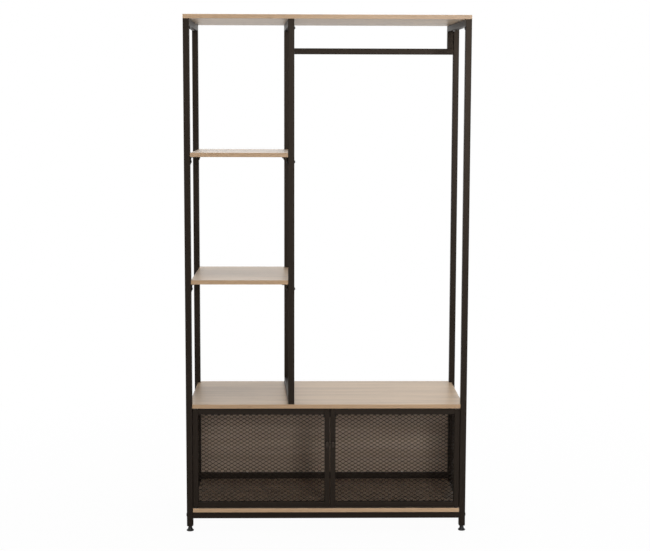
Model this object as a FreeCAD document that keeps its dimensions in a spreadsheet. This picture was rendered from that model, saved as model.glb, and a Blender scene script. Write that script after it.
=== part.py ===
import FreeCAD, Part
import math
import os
import re
import Sketcher
from FreeCAD import Placement, Rotation, Vector

# Open clothes rack: a frame of square steel tube with wooden boards. Left of the divider are two
# shelves, right of it hangs a rail, and under both is a low cabinet with two mesh doors.
#
# Origin: middle of the footprint, on the floor. +X to the right, +Y to the back, +Z up.
# The front of the rack faces -Y. Every piece is drawn from its own low corner (least x, y and z),
# and its Placement puts that corner where the piece stands in the rack.

doc = FreeCAD.newDocument("clothes_rack")

# Driving sizes in millimetres, angles in degrees.
SIZES = {
    # the whole frame
    "overall_width": 1000.0,
    "overall_depth": 400.0,
    "overall_height": 1835.0,
    "post_base_height": 19.0,
    "lower_rail_rise": 28.5,
    "cabinet_clear_height": 364.5,
    "middle_shelf_clearance": 430.5,
    "upper_shelf_clearance": 433.0,
    "shelf_bay_width": 341.5,
    "divider_skew": 19.5,
    # square tube of the frame
    "post_size": 22.0,
    "tube_wall": 1.2,
    "tube_edge": 1.2,
    # boards
    "board_thickness": 15.0,
    "back_thickness": 6.0,
    "board_edge": 0.5,
    "board_fit": 0.5,
    "cabinet_board_overlap": 9.5,
    # hanging rail
    "rail_drop": 85.0,
    # cross rails under the cabinet's board
    "middle_rail_setback": 2.0,
    # doors
    "door_tube": 19.0,
    "door_edge": 1.5,
    "door_setback": 1.0,
    "door_side_gap": 1.5,
    "door_end_gap": 3.0,
    "meeting_gap": 1.2,
    "meeting_offset": 13.0,
    # hinge pins and bushes
    "pin_radius": 3.0,
    "pin_setback": 6.5,
    "pin_depth_in_bush": 8.0,
    "pin_plug_height": 14.0,
    "bush_radius": 5.0,
    "bush_depth": 10.0,
    "bush_flange_radius": 7.0,
    "running_clearance": 0.05,
    "running_gap": 0.3,
    # pulls
    "pull_width": 12.0,
    "pull_height": 23.0,
    "pull_grip_depth": 8.0,
    "pull_neck_radius": 4.0,
    "pull_neck_length": 5.0,
    "pull_edge": 1.2,
    "pull_centre_height": 320.0,
    # magnetic catch
    "strike_width": 12.0,
    "strike_height": 14.0,
    "strike_thickness": 1.5,
    "catch_width": 46.0,
    "catch_height": 14.0,
    "catch_depth": 18.0,
    "magnet_width": 10.0,
    "magnet_height": 8.0,
    "magnet_depth": 5.0,
    "magnet_recess": 0.5,
    # expanded mesh
    "mesh_thickness": 1.5,
    "mesh_strand": 3.2,
    "mesh_pitch_across": 94.0,
    "mesh_pitch_up": 54.0,
    # flat-bar frames of the side panels
    "side_bar_thickness": 10.0,
    "side_bar_width": 14.0,
    # shelf brackets
    "bracket_thickness": 2.0,
    "bracket_width": 18.0,
    "bracket_reach": 22.0,
    "bracket_drop": 26.0,
    "bracket_bolt_drop": 16.5,
    # bolts
    "bolt_radius": 2.5,
    "bolt_head_radius": 4.5,
    "bolt_head_height": 2.8,
    "bolt_hole_clearance": 0.2,
    "nut_radius": 4.6,
    "nut_height": 4.0,
    "rail_bolt_radius": 3.0,
    "rail_bolt_head_radius": 6.0,
    "rail_bolt_head_height": 2.0,
    "rail_bolt_bite": 12.0,
    # plugs and inserts in the tubes
    "plug_height": 45.0,
    "plug_fit": 0.05,
    "plug_bolt_height": 31.0,
    "plug_bolt_bite": 10.0,
    "peg_radius": 4.0,
    "peg_height": 8.0,
    "peg_clearance": 0.2,
    "insert_height": 28.0,
    # wood screws
    "screw_radius": 2.0,
    "screw_head_radius": 4.0,
    "screw_head_height": 2.2,
    "screw_bite": 11.0,
    "screw_spacing": 220.0,
    "rail_screw_spacing": 600.0,
    # levelling feet
    "foot_radius": 13.0,
    "foot_rim_height": 3.0,
    "foot_cone_height": 8.0,
    "foot_top_radius": 7.5,
    "foot_nut_flats": 13.0,
    "stem_radius": 4.0,
    "stem_in_post": 32.0,
}

# Heights and places worked out from the driving sizes.
DERIVED = {
    "front_y": "(pull_out - foot_overhang - overall_depth) / 2",
    "rear_y": "(pull_out - foot_overhang + overall_depth) / 2",
    "pull_out": "pull_neck_length + pull_grip_depth - door_setback",
    "foot_overhang": "foot_radius - post_size / 2",
    "left_x": "-overall_width / 2",
    "right_x": "overall_width / 2",
    "left_inner_x": "left_x + post_size",
    "right_inner_x": "right_x - post_size",
    "rear_post_y": "rear_y - post_size",
    "rung_length": "overall_depth - 2 * post_size",
    "inner_width": "overall_width - 2 * post_size",
    "cavity": "post_size - 2 * tube_wall",
    "lower_rail_height": "post_base_height + lower_rail_rise",
    "bottom_board_z": "lower_rail_height + post_size",
    "cabinet_floor_z": "bottom_board_z + board_thickness",
    "rear_rail_height": "cabinet_floor_z",
    "back_panel_z": "rear_rail_height + post_size",
    "cabinet_board_z": "cabinet_floor_z + cabinet_clear_height",
    "cabinet_top_z": "cabinet_board_z + board_thickness",
    "middle_shelf_z": "cabinet_top_z + middle_shelf_clearance",
    "upper_shelf_z": "middle_shelf_z + board_thickness + upper_shelf_clearance",
    "top_board_z": "overall_height - board_thickness",
    "top_rung_z": "top_board_z - post_size",
    "rail_z": "top_board_z - rail_drop - post_size",
    "divider_x": "left_inner_x + shelf_bay_width",
    "divider_rear_x": "divider_x - divider_skew",
    "divider_height": "top_board_z - cabinet_top_z",
    "middle_rail_z": "cabinet_board_z - post_size",
    "middle_rail_y": "front_y + post_size + middle_rail_setback",
    "side_bar_inset": "(post_size - side_bar_thickness) / 2",
    "side_panel_height": "cabinet_board_z - bottom_board_z",
    "side_opening_depth": "rung_length - 2 * side_bar_width",
    "side_opening_height": "side_panel_height - 2 * side_bar_width",
    "door_bottom_z": "cabinet_floor_z + door_end_gap",
    "door_height": "cabinet_clear_height - 2 * door_end_gap",
    "door_front_y": "front_y + door_setback",
    "door_rear_y": "door_front_y + door_tube",
    "left_door_x": "left_inner_x + door_side_gap",
    "left_door_width": "meeting_offset - meeting_gap / 2 - left_door_x",
    "right_door_x": "meeting_offset + meeting_gap / 2",
    "right_door_width": "right_inner_x - door_side_gap - right_door_x",
    "door_cavity": "door_tube - 2 * tube_wall",
    "foot_pad_height": "foot_rim_height + foot_cone_height",
    "stem_hole_radius": "stem_radius + running_clearance",
    "plug_side": "cavity - 2 * plug_fit",
    "bolt_hole_radius": "bolt_radius + bolt_hole_clearance",
    "rail_bolt_hole_radius": "rail_bolt_radius + bolt_hole_clearance",
    "screw_hole_radius": "screw_radius + bolt_hole_clearance",
    "peg_hole_radius": "peg_radius + peg_clearance",
    "overrun": "post_size / 4",
}

sheet = doc.addObject("Spreadsheet::Sheet", "sizes")
for row, (alias, value) in enumerate(SIZES.items(), start=1):
    sheet.set(f"A{row}", alias.replace("_", " "))
    sheet.set(f"B{row}", str(value))
    sheet.setAlias(f"B{row}", alias)
doc.recompute()

nodes = []


def formula(text):
    """A size in words, such as "post_size / 2", as an expression on the sheet's cells."""
    def swap(match):
        word = match.group(0)
        if word in DERIVED:
            return "(" + formula(DERIVED[word]) + ")"
        return "sizes." + word if word in SIZES else word
    return re.sub(r"[a-z][a-z_]*", swap, str(text))


def size(text):
    """The same size as a number of millimetres."""
    return float(sheet.evalExpression(formula(text)))


def bind(item, prop, text):
    """Ties one property of a feature to the sheet."""
    item.setExpression(prop, formula(text))


def origin_plane(body, role):
    return next(feature for feature in body.Origin.OriginFeatures if feature.Role == role)


def place(item, x, y, z):
    """Stands an item's own origin at a place in the rack."""
    for axis, text in zip("xyz", (x, y, z)):
        bind(item, f"Placement.Base.{axis}", text)


def new_body(label, x, y, z):
    body = doc.addObject("PartDesign::Body", label)
    body.Label = label
    place(body, x, y, z)
    nodes.append(body)
    return body


def new_sketch(body, role, offset=None):
    """A sketch on an origin plane of its own body, raised off the plane by an offset."""
    sketch = body.newObject("Sketcher::SketchObject", body.Name + "_sketch")
    sketch.AttachmentSupport = [(origin_plane(body, role), "")]
    sketch.MapMode = "FlatFace"
    if offset is not None:
        bind(sketch, "AttachmentOffset.Base.z", offset)
    return sketch


def tie_point(sketch, geometry, point, u, v):
    """Ties one point of a sketch to the sketch's origin by two distances."""
    for kind, text in (("DistanceX", u), ("DistanceY", v)):
        number = sketch.addConstraint(Sketcher.Constraint(kind, -1, 1, geometry, point, size(text)))
        bind(sketch, f"Constraints[{number}]", text)


def add_outline(sketch, corners):
    """A closed outline of straight lines through corners given as pairs of sizes."""
    first = sketch.GeometryCount
    points = [Vector(size(u), size(v), 0) for u, v in corners]
    count = len(points)
    for index in range(count):
        sketch.addGeometry(Part.LineSegment(points[index], points[(index + 1) % count]), False)
    for index in range(count):
        after = first + (index + 1) % count
        sketch.addConstraint(Sketcher.Constraint("Coincident", first + index, 2, after, 1))
        tie_point(sketch, first + index, 1, *corners[index])


def add_rectangle(sketch, u, v, width, height):
    add_outline(sketch, [
        (u, v),
        (f"{u} + {width}", v),
        (f"{u} + {width}", f"{v} + {height}"),
        (u, f"{v} + {height}"),
    ])


def add_polygon(sketch, radius, sides):
    """A regular outline about the sketch's origin, with its corners on a circle."""
    corners = []
    for index in range(sides):
        turn = 360 * index / sides
        corners.append((f"({radius}) * cos({turn})", f"({radius}) * sin({turn})"))
    add_outline(sketch, corners)


def pad(body, sketch, length):
    """Extrudes a sketch towards +X, +Y or +Z, whichever is square to it."""
    feature = body.newObject("PartDesign::Pad", body.Name + "_pad")
    feature.Profile = sketch
    bind(feature, "Length", length)
    feature.Reversed = sketch.AttachmentSupport[0][0].Role == "XZ_Plane"
    doc.recompute()
    return feature


def pocket(body, sketch, length):
    """Cuts a sketch into the body the same way that pad() extrudes it."""
    feature = body.newObject("PartDesign::Pocket", body.Name + "_pocket")
    feature.Profile = sketch
    bind(feature, "Length", length)
    feature.Reversed = sketch.AttachmentSupport[0][0].Role != "XZ_Plane"
    doc.recompute()
    return feature


TURN_TO = {
    "X": Rotation(Vector(0, 0, 1), Vector(1, 0, 0)),
    "Y": Rotation(Vector(0, 0, 1), Vector(0, 1, 0)),
    "Z": Rotation(),
}


# Small fasteners repeat dozens of times, so they and their holes are drawn with a few flat sides.
FASTENER_SIDES = 8


def primitive(body, kind, axis, start, radius, length):
    """Adds or cuts a cylinder or prism from a start point along +X, +Y or +Z of the body."""
    feature = body.newObject("PartDesign::" + kind, body.Name + "_" + kind.lower())
    if kind.endswith("Prism"):
        feature.Polygon = FASTENER_SIDES
        bind(feature, "Circumradius", radius)
    else:
        bind(feature, "Radius", radius)
    bind(feature, "Height", length)
    feature.MapMode = "Deactivated"
    feature.Placement = Placement(Vector(), TURN_TO[axis])
    place(feature, *start)
    doc.recompute()
    return feature


def bore(body, axis, start, radius, length):
    """Cuts the hole of a fastener, peg or bush."""
    before = body.Shape.Volume
    feature = primitive(body, "SubtractivePrism", axis, start, radius, length)
    if not body.Shape.Volume < before:
        raise RuntimeError(f"a hole in {body.Label} cuts nothing")
    return feature


def edges_where(feature, test):
    """The names of a feature's edges that pass a test on the edge."""
    return [f"Edge{index}" for index, edge in enumerate(feature.Shape.Edges, start=1) if test(edge)]


def runs_along(edge, axis):
    """True for a straight edge parallel to an axis."""
    if not isinstance(edge.Curve, Part.Line):
        return False
    return abs(abs(edge.Curve.Direction.dot(axis)) - 1) < 1e-6


def bevel_edges(body, base, width, names):
    feature = body.newObject("PartDesign::Chamfer", body.Name + "_bevel")
    feature.Base = (base, names)
    bind(feature, "Size", width)
    doc.recompute()
    return feature


PLANE_ACROSS = {"X": "YZ_Plane", "Y": "XZ_Plane", "Z": "XY_Plane"}
AXES = {"X": Vector(1, 0, 0), "Y": Vector(0, 1, 0), "Z": Vector(0, 0, 1)}


def square_tube(label, axis, side, edge_width, length, x, y, z, sideways=None):
    """Square tube with broken corners along X, Y or Z.

    With sideways the tube runs along Y and drifts that far in X over its length, with both ends
    cut square to Y, as a mitred rung does.
    """
    body = new_body(label, x, y, z)
    outer = new_sketch(body, PLANE_ACROSS[axis])
    add_rectangle(outer, "0", "0", side, side)
    block = pad(body, outer, length)
    direction = AXES[axis]
    if sideways is not None:
        block.Reversed = False
        block.UseCustomVector = True
        block.AlongSketchNormal = True
        drift = size(sideways) / size(length)
        block.Direction = Vector(drift, 1, 0)
        bind(block, "Direction.x", f"({sideways}) / ({length})")
        doc.recompute()
        direction = Vector(drift, 1, 0).normalize()
    long_edges = edges_where(block, lambda edge: runs_along(edge, direction))
    solid_bar = bevel_edges(body, block, edge_width, long_edges)
    inner = new_sketch(body, PLANE_ACROSS[axis])
    hollow_side = f"({side} - 2 * tube_wall)"
    add_rectangle(inner, "tube_wall", "tube_wall", hollow_side, hollow_side)
    hollow = pocket(body, inner, length)
    if sideways is not None:
        hollow.Reversed = False
        hollow.UseCustomVector = True
        hollow.AlongSketchNormal = True
        hollow.Direction = Vector(drift, 1, 0)
        bind(hollow, "Direction.x", f"({sideways}) / ({length})")
        doc.recompute()
    if not body.Shape.Volume < solid_bar.Shape.Volume:
        raise RuntimeError(f"{label} has no cavity")
    return body


def board(label, corners, thickness, x, y, z):
    """Flat board drawn by its outline seen from above, with its edges slightly broken."""
    body = new_body(label, x, y, z)
    sketch = new_sketch(body, "XY_Plane")
    add_outline(sketch, corners)
    slab = pad(body, sketch, thickness)
    bevel_edges(body, slab, "board_edge", edges_where(slab, lambda edge: not runs_along(edge, AXES["Z"])))
    return body


def rectangle_corners(width, depth):
    return [("0", "0"), (width, "0"), (width, depth), ("0", depth)]


# Side frames: posts and rungs.

POST_LENGTH = "top_board_z - post_base_height"
SIDE_POSTS = {
    "front_left_post": ("left_x", "front_y"),
    "rear_left_post": ("left_x", "rear_post_y"),
    "front_right_post": ("right_inner_x", "front_y"),
    "rear_right_post": ("right_inner_x", "rear_post_y"),
}
# the front bottom rail is under the bottom board and the rear one lies on it, under the back panel
RAIL_HEIGHT = {"front": "lower_rail_height", "rear": "rear_rail_height"}
for name, (x, y) in SIDE_POSTS.items():
    post = square_tube(name, "Z", "post_size", "tube_edge", POST_LENGTH, x, y, "post_base_height")
    # the bolt of the lower rail passes through both walls
    rail_z = RAIL_HEIGHT[name.split("_")[0]]
    bore(post, "X", ("-overrun", "post_size / 2", f"{rail_z} + post_size / 2 - post_base_height"),
         "rail_bolt_hole_radius", "post_size + 2 * overrun")
    inner_side = "post_size - tube_wall - overrun" if "left" in name else "-overrun"
    # the bolt of the top plug enters a front post from the bay's side and a rear post from behind
    bolt_height = "top_board_z - plug_bolt_height - post_base_height"
    if "front" in name:
        bore(post, "X", (inner_side, "post_size / 2", bolt_height),
             "bolt_hole_radius", "tube_wall + 2 * overrun")
    else:
        bore(post, "Y", ("post_size / 2", "post_size - tube_wall - overrun", bolt_height),
             "bolt_hole_radius", "tube_wall + 2 * overrun")
    if "left" in name:
        for shelf in ("middle_shelf_z", "upper_shelf_z"):
            bore(post, "X", (inner_side, "post_size / 2", f"{shelf} - bracket_bolt_drop - post_base_height"),
                 "bolt_hole_radius", "tube_wall + 2 * overrun")

DIVIDER_POSTS = {
    "divider_front_post": ("divider_x", "front_y"),
    "divider_rear_post": ("divider_rear_x", "rear_post_y"),
}
for name, (x, y) in DIVIDER_POSTS.items():
    post = square_tube(name, "Z", "post_size", "tube_edge", "divider_height", x, y, "cabinet_top_z")
    outer_wall = "post_size - tube_wall - overrun"
    bolt_height = "divider_height - plug_bolt_height"
    if "front" in name:
        bore(post, "X", (outer_wall, "post_size / 2", bolt_height),
             "bolt_hole_radius", "tube_wall + 2 * overrun")
    else:
        bore(post, "Y", ("post_size / 2", outer_wall, bolt_height),
             "bolt_hole_radius", "tube_wall + 2 * overrun")
    for shelf in ("middle_shelf_z", "upper_shelf_z"):
        bore(post, "X", ("-overrun", "post_size / 2", f"{shelf} - bracket_bolt_drop - cabinet_top_z"),
             "bolt_hole_radius", "post_size + 2 * overrun")

rung_y = "front_y + post_size"
left_top_rung = square_tube("left_top_rung", "Y", "post_size", "tube_edge", "rung_length",
                            "left_x", rung_y, "top_rung_z")
# the right top rung drifts one tube width inwards, to end on the riser beside the rear post
right_top_rung = square_tube("right_top_rung", "Y", "post_size", "tube_edge", "rung_length",
                             "right_inner_x", rung_y, "top_rung_z", sideways="-post_size")
for name, x in (("left_bottom_rung", "left_x"), ("right_bottom_rung", "right_inner_x")):
    square_tube(name, "Y", "post_size", "tube_edge", "rung_length", x, rung_y, "lower_rail_height")
for name, z in (("divider_top_rung", "top_rung_z"), ("divider_bottom_rung", "cabinet_top_z")):
    square_tube(name, "Y", "post_size", "tube_edge", "rung_length", "divider_x", rung_y, z,
                sideways="-divider_skew")

# Cross rails, the hanging rail and its riser.

front_bottom_rail = square_tube("front_bottom_rail", "X", "post_size", "tube_edge", "inner_width",
                                "left_inner_x", "front_y", RAIL_HEIGHT["front"])
rear_bottom_rail = square_tube("rear_bottom_rail", "X", "post_size", "tube_edge", "inner_width",
                               "left_inner_x", "rear_post_y", RAIL_HEIGHT["rear"])
front_middle_rail = square_tube("front_middle_rail", "X", "post_size", "tube_edge",
                                "overall_width - 2 * (side_bar_inset + side_bar_thickness)",
                                "left_x + side_bar_inset + side_bar_thickness",
                                "middle_rail_y", "middle_rail_z")
rear_middle_rail = square_tube("rear_middle_rail", "X", "post_size", "tube_edge", "inner_width",
                               "left_inner_x", "rear_post_y", "middle_rail_z")
square_tube("hanging_rail", "X", "post_size", "tube_edge", "right_inner_x - divider_rear_x - post_size",
            "divider_rear_x + post_size", "rear_post_y", "rail_z")
square_tube("hanging_rail_riser", "Z", "post_size", "tube_edge", "rail_drop",
            "right_inner_x - post_size", "rear_post_y", "rail_z + post_size")

# Wood screws rise through a rung or rail into a board. Each entry is the tube, its low corner, the
# screw's place in the rack, and how high the tube's underside is.

SCREWS = []
for side in (-1, 1):
    SCREWS.append((left_top_rung, ("left_x", rung_y), "left_x + post_size / 2",
                   f"(front_y + rear_y) / 2 + {side} * screw_spacing / 2", "top_rung_z"))
    share = f"(1 / 2 + {side} * screw_spacing / (2 * rung_length))"
    SCREWS.append((right_top_rung, ("right_inner_x", rung_y),
                   f"right_inner_x + post_size / 2 - post_size * {share}",
                   f"(front_y + rear_y) / 2 + {side} * screw_spacing / 2", "top_rung_z"))
    for rail, low_x, low_y, z in (
            (front_bottom_rail, "left_inner_x", "front_y", "lower_rail_height"),
            (front_middle_rail, "left_x + side_bar_inset + side_bar_thickness", "middle_rail_y",
             "middle_rail_z"),
            (rear_middle_rail, "left_inner_x", "rear_post_y", "middle_rail_z")):
        SCREWS.append((rail, (low_x, low_y), f"{side} * rail_screw_spacing / 2",
                       f"{low_y} + post_size / 2", z))
for tube, (low_x, low_y), x, y, z in SCREWS:
    bore(tube, "Z", (f"{x} - ({low_x})", f"{y} - ({low_y})", "-overrun"),
         "screw_hole_radius", "post_size + 2 * overrun")

# The rear bottom rail's screws go down through it into the bottom board. Each entry is a place.
DOWN_SCREWS = [(f"{side} * rail_screw_spacing / 2", "rear_post_y + post_size / 2") for side in (-1, 1)]
for x, y in DOWN_SCREWS:
    bore(rear_bottom_rail, "Z", (f"{x} - left_inner_x", f"{y} - rear_post_y", "-overrun"),
         "screw_hole_radius", "post_size + 2 * overrun")

# Boards. The holes in them are as deep as the screw or peg that they hold.


def screw_holes(body, base_z, low_x, low_y):
    """Blind holes in a board's underside, over every screw that rises to it."""
    for _, _, x, y, z in SCREWS:
        if z == base_z:
            bore(body, "Z", (f"{x} - ({low_x})", f"{y} - ({low_y})", "0"), "screw_hole_radius",
                 "screw_bite + bolt_hole_clearance")


top_board = board("top_board", rectangle_corners("overall_width", "overall_depth"), "board_thickness",
                  "left_x", "front_y", "top_board_z")
screw_holes(top_board, "top_rung_z", "left_x", "front_y")
PLUG_POSTS = {**SIDE_POSTS, **DIVIDER_POSTS}
for x, y in PLUG_POSTS.values():
    bore(top_board, "Z", (f"{x} + post_size / 2 - left_x", f"{y} + post_size / 2 - front_y", "0"),
         "peg_hole_radius", "peg_height + peg_clearance")

notch_x = "(shelf_bay_width - divider_skew - board_fit)"
notch_y = "(overall_depth - post_size - board_fit)"
shelf_corners = [("0", "0"), ("shelf_bay_width", "0"), ("shelf_bay_width", notch_y),
                 (notch_x, notch_y), (notch_x, "overall_depth"), ("0", "overall_depth")]
for name, z in (("upper_shelf", "upper_shelf_z"), ("middle_shelf", "middle_shelf_z")):
    board(name, shelf_corners, "board_thickness", "left_inner_x", "front_y", z)

# The cabinet's board reaches past the posts' inner faces, so its four corners are notched.
cabinet_board_x = "(left_inner_x - cabinet_board_overlap)"
wide = "(inner_width + 2 * cabinet_board_overlap)"
cut = "(cabinet_board_overlap + board_fit)"
deep = "(post_size + board_fit)"
cabinet_corners = [
    (cut, "0"), (f"{wide} - {cut}", "0"), (f"{wide} - {cut}", deep), (wide, deep),
    (wide, f"overall_depth - {deep}"), (f"{wide} - {cut}", f"overall_depth - {deep}"),
    (f"{wide} - {cut}", "overall_depth"), (cut, "overall_depth"),
    (cut, f"overall_depth - {deep}"), ("0", f"overall_depth - {deep}"), ("0", deep), (cut, deep),
]
cabinet_board = board("cabinet_top_board", cabinet_corners, "board_thickness",
                      cabinet_board_x, "front_y", "cabinet_board_z")
screw_holes(cabinet_board, "middle_rail_z", cabinet_board_x, "front_y")
for x, y in DIVIDER_POSTS.values():
    bore(cabinet_board, "Z", (f"{x} + post_size / 2 - {cabinet_board_x}", f"{y} + post_size / 2 - front_y",
                              "board_thickness - peg_height - peg_clearance"),
         "peg_hole_radius", "peg_height + peg_clearance + overrun")

bottom_board_x = "(left_inner_x + board_fit)"
bottom_board = board("bottom_board",
                     rectangle_corners("inner_width - 2 * board_fit", "overall_depth"),
                     "board_thickness", bottom_board_x, "front_y", "bottom_board_z")
screw_holes(bottom_board, "lower_rail_height", bottom_board_x, "front_y")
for x, y in DOWN_SCREWS:
    bore(bottom_board, "Z", (f"{x} - {bottom_board_x}", f"{y} - front_y",
                             "board_thickness - screw_bite - bolt_hole_clearance"),
         "screw_hole_radius", "screw_bite + bolt_hole_clearance + overrun")

back_panel = new_body("back_panel", "left_inner_x", "rear_y - back_thickness", "back_panel_z")
back_sketch = new_sketch(back_panel, "XZ_Plane")
add_rectangle(back_sketch, "0", "0", "inner_width", "(middle_rail_z - back_panel_z)")
pad(back_panel, back_sketch, "back_thickness")

# Side panels: a welded frame of flat bar with expanded mesh in it.

for side in ("left", "right"):
    low_x = "left_x" if side == "left" else "right_inner_x"
    frame = new_body(f"{side}_side_panel_frame", f"{low_x} + side_bar_inset", rung_y, "bottom_board_z")
    ring = new_sketch(frame, "YZ_Plane")
    add_rectangle(ring, "0", "0", "rung_length", "side_panel_height")
    add_rectangle(ring, "side_bar_width", "side_bar_width", "side_opening_depth", "side_opening_height")
    pad(frame, ring, "side_bar_thickness")


def clip(points, inside):
    """Cuts a convex outline by a line: inside(p) is positive on the side that stays."""
    kept = []
    for index, point in enumerate(points):
        after = points[(index + 1) % len(points)]
        here, there = inside(point), inside(after)
        if here >= 0:
            kept.append(point)
        if here * there < 0:
            kept.append(point + (after - point) * (here / (here - there)))
    return kept


def diamond_mesh(width, height, margin):
    """Flat sheet pierced by staggered diamonds, whole inside and cut short along the border.

    The diamonds lie on a grid that divides the sheet's width and height evenly, every second
    row set half a pitch across, and each is smaller than its cell by the strand between cells.
    """
    across = max(1, round(width / size("mesh_pitch_across")))
    up = max(1, round(height / size("mesh_pitch_up")))
    pitch_x, pitch_z = width / across, height / up
    slope = math.hypot(pitch_x, pitch_z)
    strand = size("mesh_strand")
    half_x = pitch_x / 2 - strand * slope / (2 * pitch_z)
    half_z = pitch_z / 2 - strand * slope / (2 * pitch_x)
    holes = []
    for row in range(2 * up + 1):
        for column in range(across + 1):
            centre = Vector((column + (row % 2) / 2) * pitch_x, 0, row * pitch_z / 2)
            outline = [centre + Vector(half_x, 0, 0), centre - Vector(0, 0, half_z),
                       centre - Vector(half_x, 0, 0), centre + Vector(0, 0, half_z)]
            for inside in (lambda p: p.x - margin, lambda p: width - margin - p.x,
                           lambda p: p.z - margin, lambda p: height - margin - p.z):
                outline = clip(outline, inside)
            if len(outline) > 2:
                holes.append(Part.makePolygon(outline + outline[:1]))
    corners = [Vector(), Vector(width, 0, 0), Vector(width, 0, height), Vector(0, 0, height), Vector()]
    sheet_face = Part.Face([Part.makePolygon(corners)] + holes)
    return sheet_face.extrude(Vector(0, size("mesh_thickness"), 0))


def add_mesh(label, width, height, base, turn):
    """Makes one mesh sheet, drawn facing -Y, then turned about Z and set in place."""
    mesh = doc.addObject("Part::Feature", label)
    mesh.Label = label
    mesh.Shape = diamond_mesh(size(width), size(height), size("mesh_strand") / 2)
    mesh.Placement = Placement(Vector(*[size(text) for text in base]), Rotation(Vector(0, 0, 1), turn))
    nodes.append(mesh)
    return mesh


SQUARE_TURN = 90
for side in ("left", "right"):
    low_x = "left_x" if side == "left" else "right_inner_x"
    add_mesh(f"{side}_side_mesh", "side_opening_depth", "side_opening_height",
             (f"{low_x} + (post_size + mesh_thickness) / 2", f"{rung_y} + side_bar_width",
              "bottom_board_z + side_bar_width"), SQUARE_TURN)

# Shelf brackets: four small angles under each shelf, bolted to the posts.


def bracket_row():
    """Post face, direction away from the post, and low y of every bracket."""
    rows = []
    for shelf in ("middle_shelf_z", "upper_shelf_z"):
        rows.append((shelf, "left_inner_x", 1, "front_y"))
        rows.append((shelf, "left_inner_x", 1, "rear_post_y"))
        rows.append((shelf, "divider_x", -1, "front_y"))
        rows.append((shelf, "divider_rear_x", -1, "rear_post_y"))
    return rows


def box(low, high):
    """Plain block between two corners given in sizes."""
    start = Vector(*[size(text) for text in low])
    end = Vector(*[size(text) for text in high])
    return Part.makeBox(end.x - start.x, end.y - start.y, end.z - start.z, start)


def prism(start, radius, length, direction, sides=FASTENER_SIDES):
    """Regular prism from a start point, with its corners on a circle, one of them on an axis."""
    across = Vector(0, 1, 0) if abs(direction.x) > 0 else Vector(1, 0, 0)
    up = direction.cross(across)
    corners = []
    for index in range(sides + 1):
        turn = 2 * math.pi * index / sides
        corners.append(start + across * (radius * math.cos(turn)) + up * (radius * math.sin(turn)))
    return Part.Face(Part.makePolygon(corners)).extrude(direction * length)


def peg_at(start, radius, length, direction):
    """The same prism from sizes in words."""
    return prism(Vector(*[size(text) for text in start]), size(radius), size(length), direction)


def add_group(label, solids):
    """Several separate solids of one kind, kept as one sub-part at the rack's origin."""
    group = doc.addObject("Part::Feature", label)
    group.Label = label
    group.Shape = Part.makeCompound(solids)
    group.Placement = Placement()
    nodes.append(group)
    return group


def head_on(seat, radius, height, direction):
    """Low head of a screw or bolt that stands on its seat."""
    return prism(seat, size(radius), size(height), direction)


brackets = []
bracket_fasteners = []
for shelf, face, away, low_y in bracket_row():
    face_x, base_z = size(face), size(shelf)
    wide_y = (size("post_size") - size("bracket_width")) / 2
    y0 = size(low_y) + wide_y
    thick, reach, drop = size("bracket_thickness"), size("bracket_reach"), size("bracket_drop")
    profile = [Vector(0, 0, 0), Vector(away * reach, 0, 0), Vector(away * reach, 0, -thick),
               Vector(away * thick, 0, -thick), Vector(away * thick, 0, -drop), Vector(0, 0, -drop)]
    profile = [Vector(face_x, y0, base_z) + point for point in profile]
    angle = Part.Face(Part.makePolygon(profile + profile[:1])).extrude(Vector(0, size("bracket_width"), 0))
    bolt_z = base_z - size("bracket_bolt_drop")
    centre_y = size(low_y) + size("post_size") / 2
    hole = prism(Vector(face_x - away * size("overrun"), centre_y, bolt_z), size("bolt_hole_radius"),
                 thick + 2 * size("overrun"), Vector(away, 0, 0))
    brackets.append(angle.cut(hole))
    outward = Vector(away, 0, 0)
    seat = Vector(face_x + away * thick, centre_y, bolt_z)
    if away > 0:
        # short bolt from the bracket's side into the post's wall
        shank = prism(seat, size("bolt_radius"), thick + size("post_size") / 2, -outward)
        bracket_fasteners.append(head_on(seat, "bolt_head_radius", "bolt_head_height", outward).fuse(shank))
    else:
        # long bolt through the divider with its head on the right face and a nut on the bracket
        far = Vector(face_x - away * size("post_size"), centre_y, bolt_z)
        reach_through = size("post_size") + thick + size("nut_height")
        shank = prism(far, size("bolt_radius"), reach_through, outward)
        bracket_fasteners.append(head_on(far, "bolt_head_radius", "bolt_head_height", -outward).fuse(shank))
        nut = prism(seat, size("nut_radius"), size("nut_height"), outward, sides=6)
        thread = prism(seat, size("bolt_radius") + size("plug_fit"), size("nut_height"), outward)
        bracket_fasteners.append(nut.cut(thread))
add_group("shelf_brackets", brackets)
add_group("shelf_bolts", bracket_fasteners)

# Plugs in the post ends: a square block with a locating peg for the board.


def square_block(x, y, z, side, height):
    """Block that fills a tube's cavity, less its fit, from a post's low corner."""
    inset = f"(post_size - {side}) / 2"
    return box((f"{x} + {inset}", f"{y} + {inset}", z),
               (f"{x} + {inset} + {side}", f"{y} + {inset} + {side}", f"{z} + {height}"))


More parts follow.
